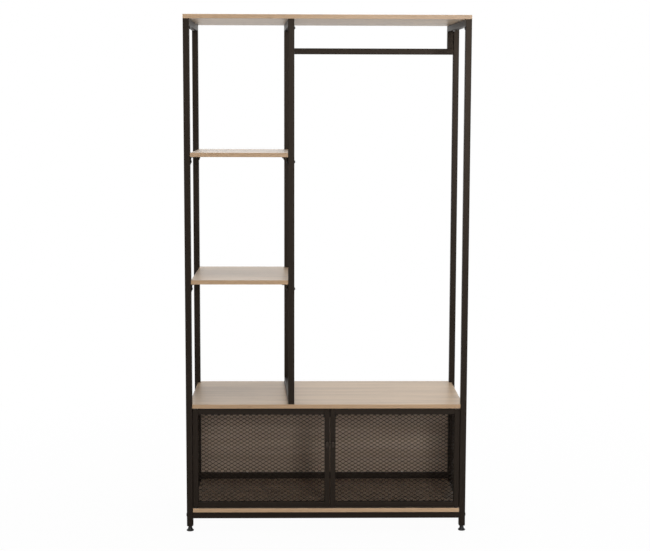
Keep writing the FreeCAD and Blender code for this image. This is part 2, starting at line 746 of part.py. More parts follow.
plugs = []
frame_bolts = []
for name, (x, y) in PLUG_POSTS.items():
    centre = (f"{x} + post_size / 2", f"{y} + post_size / 2")
    block = square_block(x, y, "top_board_z - plug_height", "plug_side", "plug_height")
    peg = peg_at((*centre, "top_board_z"), "peg_radius", "peg_height", AXES["Z"])
    bolt_z = "top_board_z - plug_bolt_height"
    length = "tube_wall + plug_bolt_bite"
    if "front" in name:
        # the head is on the side that faces the bay: the inner face of a side post
        outward = -AXES["X"] if "right" in name else AXES["X"]
        face = x if "right" in name else f"{x} + post_size"
        start = Vector(size(face), size(centre[1]), size(bolt_z))
        head_height = "bolt_head_height"
    else:
        # the head is on the rear face, as low as those of the rails
        outward = AXES["Y"]
        start = Vector(size(centre[0]), size(f"{y} + post_size"), size(bolt_z))
        head_height = "rail_bolt_head_height"
    hole = prism(start, size("bolt_radius") + size("plug_fit"), size(length) + size("plug_fit"), -outward)
    plugs.append(block.fuse(peg).cut(hole))
    shank = prism(start, size("bolt_radius"), size(length), -outward)
    frame_bolts.append(head_on(start, "bolt_head_radius", head_height, outward).fuse(shank))
for x, y in DIVIDER_POSTS.values():
    centre = (f"{x} + post_size / 2", f"{y} + post_size / 2")
    block = square_block(x, y, "cabinet_top_z", "plug_side", "insert_height")
    peg = peg_at((*centre, "cabinet_top_z - peg_height"), "peg_radius", "peg_height", AXES["Z"])
    plugs.append(block.fuse(peg))
add_group("post_plugs", plugs)

# Threaded inserts in the lower post ends and in the lower rails' ends.

inserts = []
for name, (x, y) in SIDE_POSTS.items():
    centre = (f"{x} + post_size / 2", f"{y} + post_size / 2")
    block = square_block(x, y, "post_base_height", "plug_side", "insert_height")
    inserts.append(block.cut(peg_at((*centre, "post_base_height - overrun"), "stem_hole_radius",
                                    "insert_height + 2 * overrun", AXES["Z"])))
    way = -1 if "left" in name else 1
    outer = x if way < 0 else f"{x} + post_size"
    inner = f"{x} + post_size" if way < 0 else x
    rail_z = RAIL_HEIGHT[name.split("_")[0]]
    inset = "(post_size - plug_side) / 2"
    low_x = inner if way < 0 else f"{inner} - insert_height"
    high_x = f"{inner} + insert_height" if way < 0 else inner
    block_low = (low_x, f"{y} + {inset}", f"{rail_z} + {inset}")
    block_high = (high_x, f"{y} + {inset} + plug_side", f"{rail_z} + {inset} + plug_side")
    start = Vector(size(outer), size(centre[1]), size(f"{rail_z} + post_size / 2"))
    inward = Vector(-way, 0, 0)
    reach = size("post_size") + size("rail_bolt_bite")
    thread = prism(start, size("rail_bolt_radius") + size("plug_fit"), reach + size("plug_fit"), inward)
    inserts.append(box(block_low, block_high).cut(thread))
    shank = prism(start, size("rail_bolt_radius"), reach, inward)
    frame_bolts.append(head_on(start, "rail_bolt_head_radius", "rail_bolt_head_height", -inward).fuse(shank))
add_group("threaded_inserts", inserts)
add_group("frame_bolts", frame_bolts)

screws = []
for _, _, x, y, z in SCREWS:
    base = Vector(size(x), size(y), size(z))
    shank = prism(base, size("screw_radius"), size("post_size") + size("screw_bite"), AXES["Z"])
    screws.append(head_on(base, "screw_head_radius", "screw_head_height", -AXES["Z"]).fuse(shank))
for x, y in DOWN_SCREWS:
    base = Vector(size(x), size(y), size("rear_rail_height + post_size"))
    shank = prism(base, size("screw_radius"), size("post_size") + size("screw_bite"), -AXES["Z"])
    screws.append(head_on(base, "screw_head_radius", "screw_head_height", AXES["Z"]).fuse(shank))
add_group("board_screws", screws)

# Doors: four tubes, a mesh, a pull, a strike plate and two hinge pins each. The pins turn in
# bushes pressed into the boards above and below.

DOORS = {
    "left": ("left_door_x", "left_door_width", 1),
    "right": ("right_door_x", "right_door_width", -1),
}
door_tube_y = "door_front_y"
inner_height = "(door_height - 2 * door_tube)"
bushes = []
for side, (low_x, width, towards_middle) in DOORS.items():
    far_x = f"{low_x} + {width} - door_tube"
    hinge_x, meeting_x = (low_x, far_x) if towards_middle > 0 else (far_x, low_x)
    for name, x in ((f"{side}_door_hinge_stile", hinge_x), (f"{side}_door_meeting_stile", meeting_x)):
        square_tube(name, "Z", "door_tube", "door_edge", "door_height", x, door_tube_y, "door_bottom_z")
    for name, z in ((f"{side}_door_top_rail", "door_bottom_z + door_height - door_tube"),
                    (f"{side}_door_bottom_rail", "door_bottom_z")):
        square_tube(name, "X", "door_tube", "door_edge", f"{width} - 2 * door_tube",
                    f"{low_x} + door_tube", door_tube_y, z)
    add_mesh(f"{side}_door_mesh", f"{width} - 2 * door_tube", inner_height,
             (f"{low_x} + door_tube", f"{door_tube_y} + (door_tube - mesh_thickness) / 2",
              "door_bottom_z + door_tube"), 0)

    # pull: a short round neck and an oblong grip with a rounded front
    pull = new_body(f"{side}_door_pull", f"{meeting_x} + door_tube / 2", "door_front_y",
                    "pull_centre_height")
    primitive(pull, "AdditivePrism", "Y", ("0", "-pull_neck_length", "0"),
              "pull_neck_radius", "pull_neck_length")
    grip_sketch = new_sketch(pull, "XZ_Plane", offset="pull_neck_length")
    straight = size("(pull_height - pull_width) / 2")
    arc_radius = size("pull_width / 2")
    right_line = grip_sketch.addGeometry(Part.LineSegment(Vector(arc_radius, -straight, 0),
                                                          Vector(arc_radius, straight, 0)), False)
    top_arc = grip_sketch.addGeometry(Part.ArcOfCircle(Part.Circle(Vector(0, straight, 0), Vector(0, 0, 1),
                                                                   arc_radius), 0, math.pi), False)
    left_line = grip_sketch.addGeometry(Part.LineSegment(Vector(-arc_radius, straight, 0),
                                                         Vector(-arc_radius, -straight, 0)), False)
    low_arc = grip_sketch.addGeometry(Part.ArcOfCircle(Part.Circle(Vector(0, -straight, 0), Vector(0, 0, 1),
                                                                   arc_radius), math.pi, 2 * math.pi), False)
    for before, after in ((right_line, top_arc), (top_arc, left_line), (left_line, low_arc),
                          (low_arc, right_line)):
        grip_sketch.addConstraint(Sketcher.Constraint("Tangent", before, 2, after, 1))
    tie_point(grip_sketch, top_arc, 3, "0", "(pull_height - pull_width) / 2")
    tie_point(grip_sketch, low_arc, 3, "0", "-(pull_height - pull_width) / 2")
    arc_size = grip_sketch.addConstraint(Sketcher.Constraint("Radius", top_arc, arc_radius))
    bind(grip_sketch, f"Constraints[{arc_size}]", "pull_width / 2")
    grip = pad(pull, grip_sketch, "pull_grip_depth")
    grip.Reversed = False
    doc.recompute()
    face_y = -size("pull_neck_length + pull_grip_depth")
    front_rim = edges_where(grip, lambda edge: abs(edge.BoundBox.YMin - face_y) < size("plug_fit")
                            and abs(edge.BoundBox.YMax - face_y) < size("plug_fit"))
    bevel_edges(pull, grip, "pull_edge", front_rim)

    strike = new_body(f"{side}_door_strike", f"{meeting_x} + (door_tube - strike_width) / 2", "door_rear_y",
                      "middle_rail_z - strike_height")
    strike_sketch = new_sketch(strike, "XZ_Plane")
    add_rectangle(strike_sketch, "0", "0", "strike_width", "strike_height")
    pad(strike, strike_sketch, "strike_thickness")

    # hinge pins: a square plug inside the stile carries each pin
    # the pins sit forward of the stile's middle, so that its front corner clears the post as it turns
    pin_x, pin_y = f"{hinge_x} + door_tube / 2", "door_front_y + pin_setback"
    plug_y, plug_half = "door_front_y + door_tube / 2", "(door_cavity / 2 - plug_fit)"
    door_top = "door_bottom_z + door_height"
    pins = []
    pin_length = "door_end_gap + pin_depth_in_bush"
    lower_pin_z = "door_bottom_z - door_end_gap - pin_depth_in_bush"
    for low_z, high_z, start_z in (
            ("door_bottom_z", "door_bottom_z + pin_plug_height", lower_pin_z),
            (f"{door_top} - pin_plug_height", door_top, door_top)):
        plug = box((f"{pin_x} - {plug_half}", f"{plug_y} - {plug_half}", low_z),
                   (f"{pin_x} + {plug_half}", f"{plug_y} + {plug_half}", high_z))
        pin = Part.makeCylinder(size("pin_radius"), size(pin_length),
                                Vector(size(pin_x), size(pin_y), size(start_z)), AXES["Z"])
        pins.append(plug.fuse(pin))
    add_group(f"{side}_door_pins", pins)

    # bushes: a sleeve in the board and a flange in the gap that the door runs on
    for board_body, board_x, face_z, into in ((cabinet_board, cabinet_board_x, "cabinet_board_z", 1),
                                              (bottom_board, bottom_board_x, "cabinet_floor_z", -1)):
        centre = Vector(size(pin_x), size(pin_y), size(face_z))
        upward = Vector(0, 0, into)
        sleeve = prism(centre, size("bush_radius"), size("bush_depth"), upward)
        flange = prism(centre, size("bush_flange_radius"), size("door_end_gap - running_gap"), -upward)
        shaft = Part.makeCylinder(size("pin_radius + running_clearance"),
                                  size("bush_depth + door_end_gap + overrun"),
                                  centre + upward * size("bush_depth"), -upward)
        bushes.append(sleeve.fuse(flange).cut(shaft))
        start_z = "0" if into > 0 else "board_thickness - bush_depth"
        bore(board_body, "Z", (f"{pin_x} - {board_x}", f"{pin_y} - front_y", start_z),
             "bush_radius + plug_fit", "bush_depth")
add_group("hinge_bushes", bushes)

# Magnetic catch under the front middle rail: a housing with a magnet facing each strike plate.

catch_y = "(door_rear_y + strike_thickness + running_gap)"
catch_z = "(middle_rail_z - catch_height)"
housing = box(("meeting_offset - catch_width / 2", catch_y, catch_z),
              ("meeting_offset + catch_width / 2", f"{catch_y} + catch_depth", f"{catch_z} + catch_height"))
magnets = []
for way in (-1, 1):
    centre_x = f"(meeting_offset + {way} * (meeting_gap + door_tube) / 2)"
    centre_z = f"({catch_z} + catch_height / 2)"
    low = (f"{centre_x} - magnet_width / 2", catch_y, f"{centre_z} - magnet_height / 2")
    high = (f"{centre_x} + magnet_width / 2", f"{catch_y} + magnet_recess + magnet_depth",
            f"{centre_z} + magnet_height / 2")
    housing = housing.cut(box((low[0], f"{catch_y} - overrun", low[2]), high))
    magnets.append(box((low[0], f"{catch_y} + magnet_recess", low[2]), high))
add_group("magnetic_catch", [housing] + magnets)

# Levelling feet: a conical pad and a threaded stem with a hexagon, screwed into the post's insert.
FOOT_SIDES = 24

for corner in ("front_left", "rear_left", "front_right", "rear_right"):
    x, y = SIDE_POSTS[f"{corner}_post"]
    centre_x, centre_y = f"{x} + post_size / 2", f"{y} + post_size / 2"
    pad_body = new_body(f"{corner}_foot_pad", centre_x, centre_y, "0")
    disc_sketch = new_sketch(pad_body, "XY_Plane")
    add_polygon(disc_sketch, "foot_radius", FOOT_SIDES)
    disc = pad(pad_body, disc_sketch, "foot_pad_height")
    top = size("foot_pad_height")
    top_edges = edges_where(disc, lambda edge: abs(edge.BoundBox.ZMin - top) < size("plug_fit"))
    cone = bevel_edges(pad_body, disc, "foot_cone_height", top_edges)
    cone.ChamferType = "Two distances"
    bind(cone, "Size2", "foot_radius - foot_top_radius")
    doc.recompute()

    # the stem: a hexagon for the spanner on the pad, then the threaded part
    stem = new_body(f"{corner}_foot_stem", centre_x, centre_y, "foot_pad_height")
    nut_sketch = new_sketch(stem, "XY_Plane")
    add_polygon(nut_sketch, "foot_nut_flats / 2 / cos(30)", 6)
    pad(stem, nut_sketch, "post_base_height - running_gap - foot_pad_height")
    primitive(stem, "AdditivePrism", "Z", ("0", "0", "0"), "stem_radius",
              "post_base_height + stem_in_post - foot_pad_height")

doc.recompute()

# Every feature has to be sound before anything is written.

for item in doc.Objects:
    if "Invalid" in item.State or "Error" in item.State:
        raise RuntimeError(f"{item.Name} failed: {item.State}")
for node in nodes:
    if node.Shape.isNull() or not node.Shape.isValid():
        raise RuntimeError(f"{node.Label} has no sound shape")

os.makedirs("parts", exist_ok=True)
for node in nodes:
    node.Shape.exportStep(os.path.join("parts", node.Label + ".step"))
print(len(nodes), "sub-parts written")
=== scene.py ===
import math

import bpy
import numpy as np
from mathutils import Matrix, Vector


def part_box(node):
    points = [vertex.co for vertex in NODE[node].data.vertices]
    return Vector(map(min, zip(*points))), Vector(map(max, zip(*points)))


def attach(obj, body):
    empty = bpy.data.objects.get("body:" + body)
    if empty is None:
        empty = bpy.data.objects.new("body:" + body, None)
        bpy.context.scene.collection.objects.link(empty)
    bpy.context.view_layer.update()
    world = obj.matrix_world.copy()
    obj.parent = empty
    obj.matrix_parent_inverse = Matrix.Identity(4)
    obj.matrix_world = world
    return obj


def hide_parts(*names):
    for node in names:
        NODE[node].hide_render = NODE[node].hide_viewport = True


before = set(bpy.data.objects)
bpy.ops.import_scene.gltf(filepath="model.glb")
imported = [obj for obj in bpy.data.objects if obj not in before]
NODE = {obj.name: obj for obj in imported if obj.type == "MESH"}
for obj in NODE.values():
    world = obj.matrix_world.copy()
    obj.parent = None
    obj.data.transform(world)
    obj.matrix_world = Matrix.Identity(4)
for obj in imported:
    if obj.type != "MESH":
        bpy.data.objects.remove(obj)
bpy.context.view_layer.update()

# Sizes in metres. Tubes, bars, meshes, pulls, feet and strike plates take their places and lengths
# from the boxes of their CAD nodes. The places of fasteners and hinges are named in their section.
POST = 0.022
DOOR_TUBE = 0.019
TUBE_WALL = 0.0012
POST_CORNER = 0.0019
DOOR_CORNER = 0.0014
TUBE_CHAMFER = 0.0003
SIDE_BAR_WIDTH = 0.014
SIDE_BAR_CORNER = 0.0012
MESH_PITCH_ACROSS = 0.0225
MESH_PITCH_UP = 0.0136
MESH_OVERLAP = 0.0008
STRAND_WIDTH = 0.0022
STRAND_THICKNESS = 0.0008
STRAND_TILT = math.radians(22.0)
# how smooth a strand's step from bond to bond is: 0 is a straight slope, 1 is level at both bonds
STRAND_EASE = 0.55

# A ring of points this far from an edge keeps the shading of the flat side beside it flat.
EDGE_SUPPORT = 0.0004
# The tightest corner that a rounded ring may have.
LEAST_CORNER = 0.0004
# Faces that meet at more than this are shaded with a sharp edge.
CREASE = math.radians(32.0)


# Camera and lamps

CAMERA_PLACE = (-0.0800, -4.8019, 1.5240)
# degrees: to the left, up from level, and about the line of sight
CAMERA_PAN, CAMERA_TILT, CAMERA_ROLL = -0.909, -6.115, 0.151
CAMERA_LENS, CAMERA_SENSOR = 73.03, 36.0
CAMERA_SHIFT = -0.045
CAMERA_NEAR, CAMERA_FAR = 0.1, 60.0


def stand_camera():
    """The photograph's place, a little above the upper shelf and left of the middle, looking
    slightly down."""
    camera = bpy.data.cameras.new("camera")
    camera.lens, camera.sensor_width = CAMERA_LENS, CAMERA_SENSOR
    camera.shift_y = CAMERA_SHIFT
    camera.clip_start, camera.clip_end = CAMERA_NEAR, CAMERA_FAR
    holder = bpy.data.objects.new("camera", camera)
    turn = (Matrix.Rotation(math.radians(CAMERA_PAN), 4, "Z")
            @ Matrix.Rotation(math.radians(90.0 + CAMERA_TILT), 4, "X")
            @ Matrix.Rotation(math.radians(CAMERA_ROLL), 4, "Z"))
    holder.matrix_world = Matrix.Translation(CAMERA_PLACE) @ turn
    bpy.context.scene.collection.objects.link(holder)
    bpy.context.scene.camera = holder


def hang_lamp(name, place, aim, width, height, power):
    """Rectangular soft lamp that shines from its place towards an aim point."""
    light = bpy.data.lights.new(name, "AREA")
    light.shape = "RECTANGLE"
    light.size, light.size_y = width, height
    light.energy = power
    holder = bpy.data.objects.new(name, light)
    turn = (Vector(aim) - Vector(place)).to_track_quat("-Z", "Y").to_matrix().to_4x4()
    holder.matrix_world = Matrix.Translation(place) @ turn
    bpy.context.scene.collection.objects.link(holder)


# Shader maths


class Wire:
    """One socket of a material's nodes. Arithmetic on it adds the Math nodes."""

    def __init__(self, socket):
        self.socket = socket
        self.tree = socket.id_data

    def node(self, kind, settings=None, sockets=None, out=0):
        """Any node: its settings come first, then the values or links of its sockets."""
        made = self.tree.nodes.new(kind)
        for name, value in (settings or {}).items():
            setattr(made, name, value)
        for name, value in (sockets or {}).items():
            if isinstance(value, Wire):
                self.tree.links.new(value.socket, made.inputs[name])
            else:
                made.inputs[name].default_value = value
        return Wire(made.outputs[out])

    def math(self, operation, *values):
        return self.node("ShaderNodeMath", {"operation": operation}, dict(enumerate(values)))

    def __add__(self, other):
        return self.math("ADD", self, other)

    def __mul__(self, other):
        return self.math("MULTIPLY", self, other)

    def __sub__(self, other):
        return self.math("SUBTRACT", self, other)

    def __rsub__(self, other):
        return self.math("SUBTRACT", other, self)

    __radd__ = __add__
    __rmul__ = __mul__

    def fraction(self):
        return self.math("FRACT", self)

    def size(self):
        return self.math("ABSOLUTE", self)

    def ramp(self, low, high):
        """0 below low, 1 above high, smooth between."""
        return self.node("ShaderNodeMapRange", {"interpolation_type": "SMOOTHSTEP"},
                         {"Value": self, "From Min": low, "From Max": high})

    def mix(self, first, second):
        """Colour that goes from first to second as this value goes from 0 to 1. On this node sockets
        6 and 7 and output 2 are the ones for colours."""
        return self.node("ShaderNodeMix", {"data_type": "RGBA"},
                         {0: self, 6: rgb(first), 7: rgb(second)}, out=2)

    def shifted(self, other):
        return self.node("ShaderNodeVectorMath", {"operation": "ADD"}, {0: self, 1: other})

    def noise(self, scale, detail, roughness=0.5):
        """Noise from 0 to 1 over these coordinates: waves per metre, octaves and their roughness."""
        return self.node("ShaderNodeTexNoise", {}, {"Vector": self, "Scale": scale, "Detail": detail,
                                                    "Roughness": roughness})

    def grain(self, stretch, noise):
        """Noise over these coordinates after each axis is multiplied by its stretch."""
        made = self.node("ShaderNodeVectorMath", {"operation": "MULTIPLY"}, {0: self, 1: stretch})
        return made.noise(*noise)

    def parts(self):
        """The three separate coordinates."""
        made = self.node("ShaderNodeSeparateXYZ", {}, {0: self}).socket.node
        return [Wire(made.outputs[index]) for index in range(3)]


def rgb(colour):
    """A wire as it is, or a colour of three values with a full alpha added."""
    return colour if isinstance(colour, Wire) else (*colour, 1.0)


FINISHES = {}


def finish(name, slot, **constants):
    """New material with its constant sockets set. Gives its surface node, its object coordinates
    and the coordinates of the mesh's own map."""
    material = bpy.data.materials.new(name)
    material.use_nodes = True
    material.node_tree.nodes.clear()
    start = material.node_tree.nodes.new("ShaderNodeTexCoord")
    surface = material.node_tree.nodes.new("ShaderNodeBsdfPrincipled")
    output = material.node_tree.nodes.new("ShaderNodeOutputMaterial")
    material.node_tree.links.new(surface.outputs[0], output.inputs["Surface"])
    for socket, value in constants.items():
        surface.inputs[socket.replace("_", " ")].default_value = value
    FINISHES[name] = (material, slot)
    return surface, Wire(start.outputs["Object"]), Wire(start.outputs["UV"])


def connect(surface, **wires):
    """Links varying values to the surface's sockets. relief is a height in metres and becomes a
    bump."""
    for socket, wire in wires.items():
        if socket == "relief":
            wire = wire.node("ShaderNodeBump", {}, {"Strength": 1.0, "Distance": 1.0, "Height": wire})
            socket = "Normal"
        wire.tree.links.new(wire.socket, surface.inputs[socket.replace("_", " ")])


# Finishes

# A noise is given as its waves per metre, octaves and roughness, edges as the values where a ramp
# starts and ends, a height in metres. A lift is how many times lighter a patch is than the coat.
MIDDLE_EDGES = (0.3, 0.7)

COAT_MIRROR_TINT = (1.0, 0.80, 0.65, 1.0)
PEBBLE_NOISE, PEBBLE_HEIGHT, PEBBLE_GLOSS = (900.0, 1.0), 0.000012, 0.05
SWELL_NOISE, SWELL_HEIGHT = (160.0, 2.0), 0.00003
CLOUD_NOISE, CLOUD_LIFT, CLOUD_GLOSS = (7.0, 3.0, 0.6), 1.22, 0.10
SPECK_NOISE, SPECK_EDGES, SPECK_LIFT, SPECK_SHARE = (2300.0, 0.0), (0.70, 0.78), 2.6, 0.35
# patches that paint the corners lighter: a painted highlight, where the coat is also thinner
THIN_COAT_SHEEN_NOISE, THIN_COAT_SHEEN_EDGES, THIN_COAT_SHEEN_LIFT, THIN_COAT_SHEEN_SHARE = (46.0, 4.0, 0.7), (0.45, 0.75), 3.0, 0.5
CORNER_EDGES = (0.88, 0.98)


def powder_coat(name, slot, dark, thin_coat_sheen_corners, shine=0.28, roughness=0.38):
    """Satin powder coat: fine pebbling, cloudy gloss, and corners painted a shade lighter in patches, a
    painted highlight along the edges where the coat is also thinner.
    """
    surface, place, around = finish(name, slot, Specular_IOR_Level=shine, Specular_Tint=COAT_MIRROR_TINT)
    pebbles, swell, cloud = (place.noise(*noise) for noise in (PEBBLE_NOISE, SWELL_NOISE, CLOUD_NOISE))
    specks = place.noise(*SPECK_NOISE).ramp(*SPECK_EDGES)
    colour = cloud.ramp(*MIDDLE_EDGES).mix(dark, [CLOUD_LIFT * value for value in dark])
    colour = (specks * SPECK_SHARE).mix(colour, [SPECK_LIFT * value for value in dark])
    rough = roughness + CLOUD_GLOSS * cloud + PEBBLE_GLOSS * pebbles
    if thin_coat_sheen_corners:
        # the first coordinate of the tubes' own map is a whole number at each corner
        across = around.parts()[0]
        nearness = 1.0 - 2.0 * (((across + 0.5).fraction() - 0.5).size())
        # painted highlight: the corners are made lighter in patches, partly for the thinner coat there
        corner_thin_coat_sheen = nearness.ramp(*CORNER_EDGES) * place.noise(*THIN_COAT_SHEEN_NOISE).ramp(*THIN_COAT_SHEEN_EDGES)
        colour = (corner_thin_coat_sheen * THIN_COAT_SHEEN_SHARE).mix(colour, [THIN_COAT_SHEEN_LIFT * value for value in dark])
    connect(surface, Base_Color=colour, Roughness=rough,
            relief=PEBBLE_HEIGHT * pebbles + SWELL_HEIGHT * swell)


# The layers of the foil's grain: how much x, y and z are stretched, and the noise over that.
DRIFT = (0.7, 4.0, 4.0), (2.0, 2.0)
BANDS = (0.9, 15.0, 15.0), (1.6, 3.0, 0.55)
FLAME = (1.6, 40.0, 40.0), (1.5, 2.0, 0.5)
STREAKS = (5.0, 330.0, 330.0), (1.0, 3.0, 0.6)
PORES = (18.0, 900.0, 900.0), (1.0, 1.0)
DRIFT_REACH = 0.05
BAND_EDGES, PORE_EDGES = (0.32, 0.68), (0.60, 0.74)
BAND_SHARE, FLAME_SHARE, STREAK_SHARE = 0.5, 0.3, 0.2
# how dark the pores are: their least, and what a dark band adds
PORE_SHARE, PORE_BAND_SHARE = 0.25, 0.5
FOIL_INDEX, FOIL_ROUGHNESS, STREAK_GLOSS, PORE_GLOSS = 1.45, 0.33, 0.08, 0.08
PORE_HEIGHT, STREAK_HEIGHT = -0.00003, 0.00001


def oak_foil(name, slot, pale, deep, pore, banding):
    """Light oak foil: long bands and flame figure along the board, fine dark pores, faint embossing.
    The upright faces carry an edge banding of their own tones."""
    surface, place, _ = finish(name, slot, IOR=FOIL_INDEX)
    drift = DRIFT_REACH * place.grain(*DRIFT)
    bent = place.shifted(drift.node("ShaderNodeCombineXYZ", {}, {"Y": drift, "Z": drift}))
    bands, flame, streaks = (bent.grain(*layer) for layer in (BANDS, FLAME, STREAKS))
    pores = bent.grain(*PORES).ramp(*PORE_EDGES)
    tone = (bands.ramp(*BAND_EDGES) * BAND_SHARE + flame.ramp(*MIDDLE_EDGES) * FLAME_SHARE
            + streaks.ramp(*MIDDLE_EDGES) * STREAK_SHARE)
    flat = Wire(place.tree.nodes.new("ShaderNodeNewGeometry").outputs["Normal"]).parts()[2].size()
    colour = flat.ramp(*MIDDLE_EDGES).mix(tone.mix(*banding), tone.mix(pale, deep))
    colour = (pores * (PORE_SHARE + PORE_BAND_SHARE * bands)).mix(colour, pore)
    connect(surface, Base_Color=colour,
            Roughness=FOIL_ROUGHNESS + STREAK_GLOSS * streaks + PORE_GLOSS * pores,
            relief=PORE_HEIGHT * pores + STREAK_HEIGHT * streaks)


PLASTIC_INDEX = 1.47
MOULD_NOISE, MOULD_HEIGHT = (2600.0, 1.0), 0.00001
MOULD_CLOUD_NOISE, MOULD_CLOUD_GLOSS = (60.0, 2.0), 0.1
MOULD_CLOUD_LIFT, MOULD_CLOUD_FLOOR = 1.3, 0.004


def moulded_plastic(name, slot, tone, roughness):
    """Matt moulded plastic: very fine grain and a slightly uneven gloss."""
    surface, place, _ = finish(name, slot, IOR=PLASTIC_INDEX)
    grain, cloud = place.noise(*MOULD_NOISE), place.noise(*MOULD_CLOUD_NOISE)
    lighter = [MOULD_CLOUD_LIFT * value + MOULD_CLOUD_FLOOR for value in tone]
    connect(surface, Base_Color=cloud.ramp(*MIDDLE_EDGES).mix(tone, lighter),
            Roughness=roughness + MOULD_CLOUD_GLOSS * cloud, relief=MOULD_HEIGHT * grain)


MOTTLE_NOISE, MOTTLE_GLOSS, MOTTLE_HEIGHT = (1400.0, 2.0), 0.16, 0.000006
PLATE_CLOUD_NOISE = (220.0, 3.0)


def plated_steel(name, slot, bright, dull, metallic, roughness):
    """Plated steel: a crystalline mottle in the gloss and cloudy patches of a duller tone."""
    surface, place, _ = finish(name, slot, Metallic=metallic)
    mottle, cloud = place.noise(*MOTTLE_NOISE), place.noise(*PLATE_CLOUD_NOISE)
    connect(surface, Base_Color=cloud.ramp(*MIDDLE_EDGES).mix(bright, dull),
            Roughness=roughness + MOTTLE_GLOSS * (mottle - 0.5), relief=MOTTLE_HEIGHT * mottle)


COAT = (0.0080, 0.0056, 0.0040)
powder_coat("tube_coat", "powder_coat", COAT, True)
powder_coat("bar_coat", "powder_coat", COAT, False)
powder_coat("mesh_coat", "mesh", COAT, False, shine=0.17)
powder_coat("pull_coat", "pull", (0.0100, 0.0075, 0.0058), False, shine=0.50, roughness=0.14)

# pale, deep and pore tone of a foil, and the pale and deep tone of its edge banding
BACK_PALE, BACK_DEEP = (0.610, 0.480, 0.380), (0.440, 0.328, 0.246)
oak_foil("board_oak", "board", (0.575, 0.425, 0.284), (0.405, 0.290, 0.186), (0.300, 0.205, 0.125),
         ((0.650, 0.435, 0.262), (0.520, 0.334, 0.192)))
# copy of the board's foil for the bottom board: its top is painted darker, a painted shade of the cabinet's
# inside; its edge banding is lighter than the other boards'
oak_foil("floor_oak_painted_shade", "board", (0.340, 0.256, 0.186), (0.276, 0.204, 0.145), (0.220, 0.155, 0.100),
         ((0.760, 0.510, 0.306), (0.610, 0.390, 0.222)))
oak_foil("back_oak", "back_panel", BACK_PALE, BACK_DEEP, (0.300, 0.210, 0.145), (BACK_PALE, BACK_DEEP))

moulded_plastic("foot_black", "foot_plastic", (0.018, 0.018, 0.018), roughness=0.5)
moulded_plastic("plug_black", "inner_plastic", (0.024, 0.024, 0.024), roughness=0.55)
plated_steel("bright_zinc", "zinc_steel", (0.62, 0.63, 0.65), (0.50, 0.50, 0.50),
             metallic=1.0, roughness=0.34)
plated_steel("black_zinc", "black_bolts", (0.045, 0.043, 0.041), (0.030, 0.029, 0.028),
             metallic=0.6, roughness=0.34)


# Surfaces


class Shell:
    """Gathers grids of points into one mesh. Each cell of a grid becomes a four-sided face."""

    def __init__(self):
        self.points, self.faces, self.maps, self.count = [], [], [], 0

    def grid(self, points, along_closed=False, around=None):
        """Adds rings of points, shaped (rings, points in a ring, 3) or (copies, rings, points, 3).

        A ring always closes on itself. The last ring joins the first where along_closed is set;
        otherwise flat faces close the two ends. Faces are turned outward by the sign of the
        volume they enclose. around is the map's first coordinate over one ring, one value longer
        than the ring, and the second coordinate is the length along the rings' middles.
        """
        points = np.asarray(points, float)
        if points.ndim == 3:
            points = points[None]
        copies, rings, size, _ = points.shape
        # the faces between each ring and the next, then the two flat ends
        index = np.arange(rings * size).reshape(rings, size)
        near = index if along_closed else index[:-1]
        far = np.roll(index, -1, 0) if along_closed else index[1:]
        quads = np.stack([near, np.roll(near, -1, 1), np.roll(far, -1, 1), far], -1).reshape(-1, 4)
        ends = [] if along_closed else [index[0][::-1], index[-1]]
        # six times the volume that the first copy encloses, from its triangles
        flat = points[0].reshape(-1, 3)
        flat = flat - flat.mean(0)
        fans = [quads[:, [0, 1, 2]], quads[:, [0, 2, 3]]]
        fans += [np.stack([np.repeat(end[0], size - 2), end[1:-1], end[2:]], -1) for end in ends]
        corner = flat[np.concatenate(fans)]
        volume = np.einsum("ij,ij->i", corner[:, 0], np.cross(corner[:, 1], corner[:, 2])).sum()
        # the map's two coordinates at each corner of each face
        ring_way = np.arange(size + 1) / size if around is None else np.asarray(around, float)
        middle = points[0].mean(1)
        steps = np.linalg.norm(np.diff(middle, axis=0, append=middle[:1]), axis=1)
        path_way = np.concatenate([[0.0], np.cumsum(steps)])
        rows = rings if along_closed else rings - 1
        first, second = np.meshgrid(ring_way, path_way[:rows + 1])
        grid_map = np.stack([first, second], -1)
        quad_map = np.stack([grid_map[:-1, :-1], grid_map[:-1, 1:],
                             grid_map[1:, 1:], grid_map[1:, :-1]], 2).reshape(-1, 4, 2)
        if volume < 0:
            quads, quad_map = quads[:, ::-1], quad_map[:, ::-1]
            ends = [end[::-1] for end in ends]
        offsets = self.count + np.arange(copies)[:, None, None] * rings * size
        self.points.append(points.reshape(-1, 3))
        self.faces += (quads[None] + offsets).reshape(-1, 4).tolist()
        self.maps.append(np.tile(quad_map.reshape(-1, 2), (copies, 1)))
        for end in ends:
            self.faces += (end[None] + offsets[:, 0]).tolist()
            self.maps.append(np.zeros((copies * size, 2)))
        self.count += copies * rings * size
        return self

    def make(self, name, body, finish_name, *stands_for):
        """Turns what was gathered into a piece that rides on a body and stands for CAD nodes."""
        mesh = bpy.data.meshes.new(name)
        mesh.from_pydata(np.concatenate(self.points).tolist(), [], self.faces)
        layer = mesh.uv_layers.new(name="map")
        layer.data.foreach_set("uv", np.concatenate(self.maps).ravel())
        mesh.polygons.foreach_set("use_smooth", np.ones(len(mesh.polygons), bool))
        mesh.update()
        mesh.set_sharp_from_angle(angle=CREASE)
        piece = bpy.data.objects.new(name, mesh)
        bpy.context.scene.collection.objects.link(piece)
        material, slot = FINISHES[finish_name]
        mesh.materials.append(material)
        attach(piece, body)
        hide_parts(*stands_for)


# How far a corner and its two neighbours spread on the map round a whole number.
CORNER_SPREAD, SUPPORT_SPREAD = 0.06, 0.08


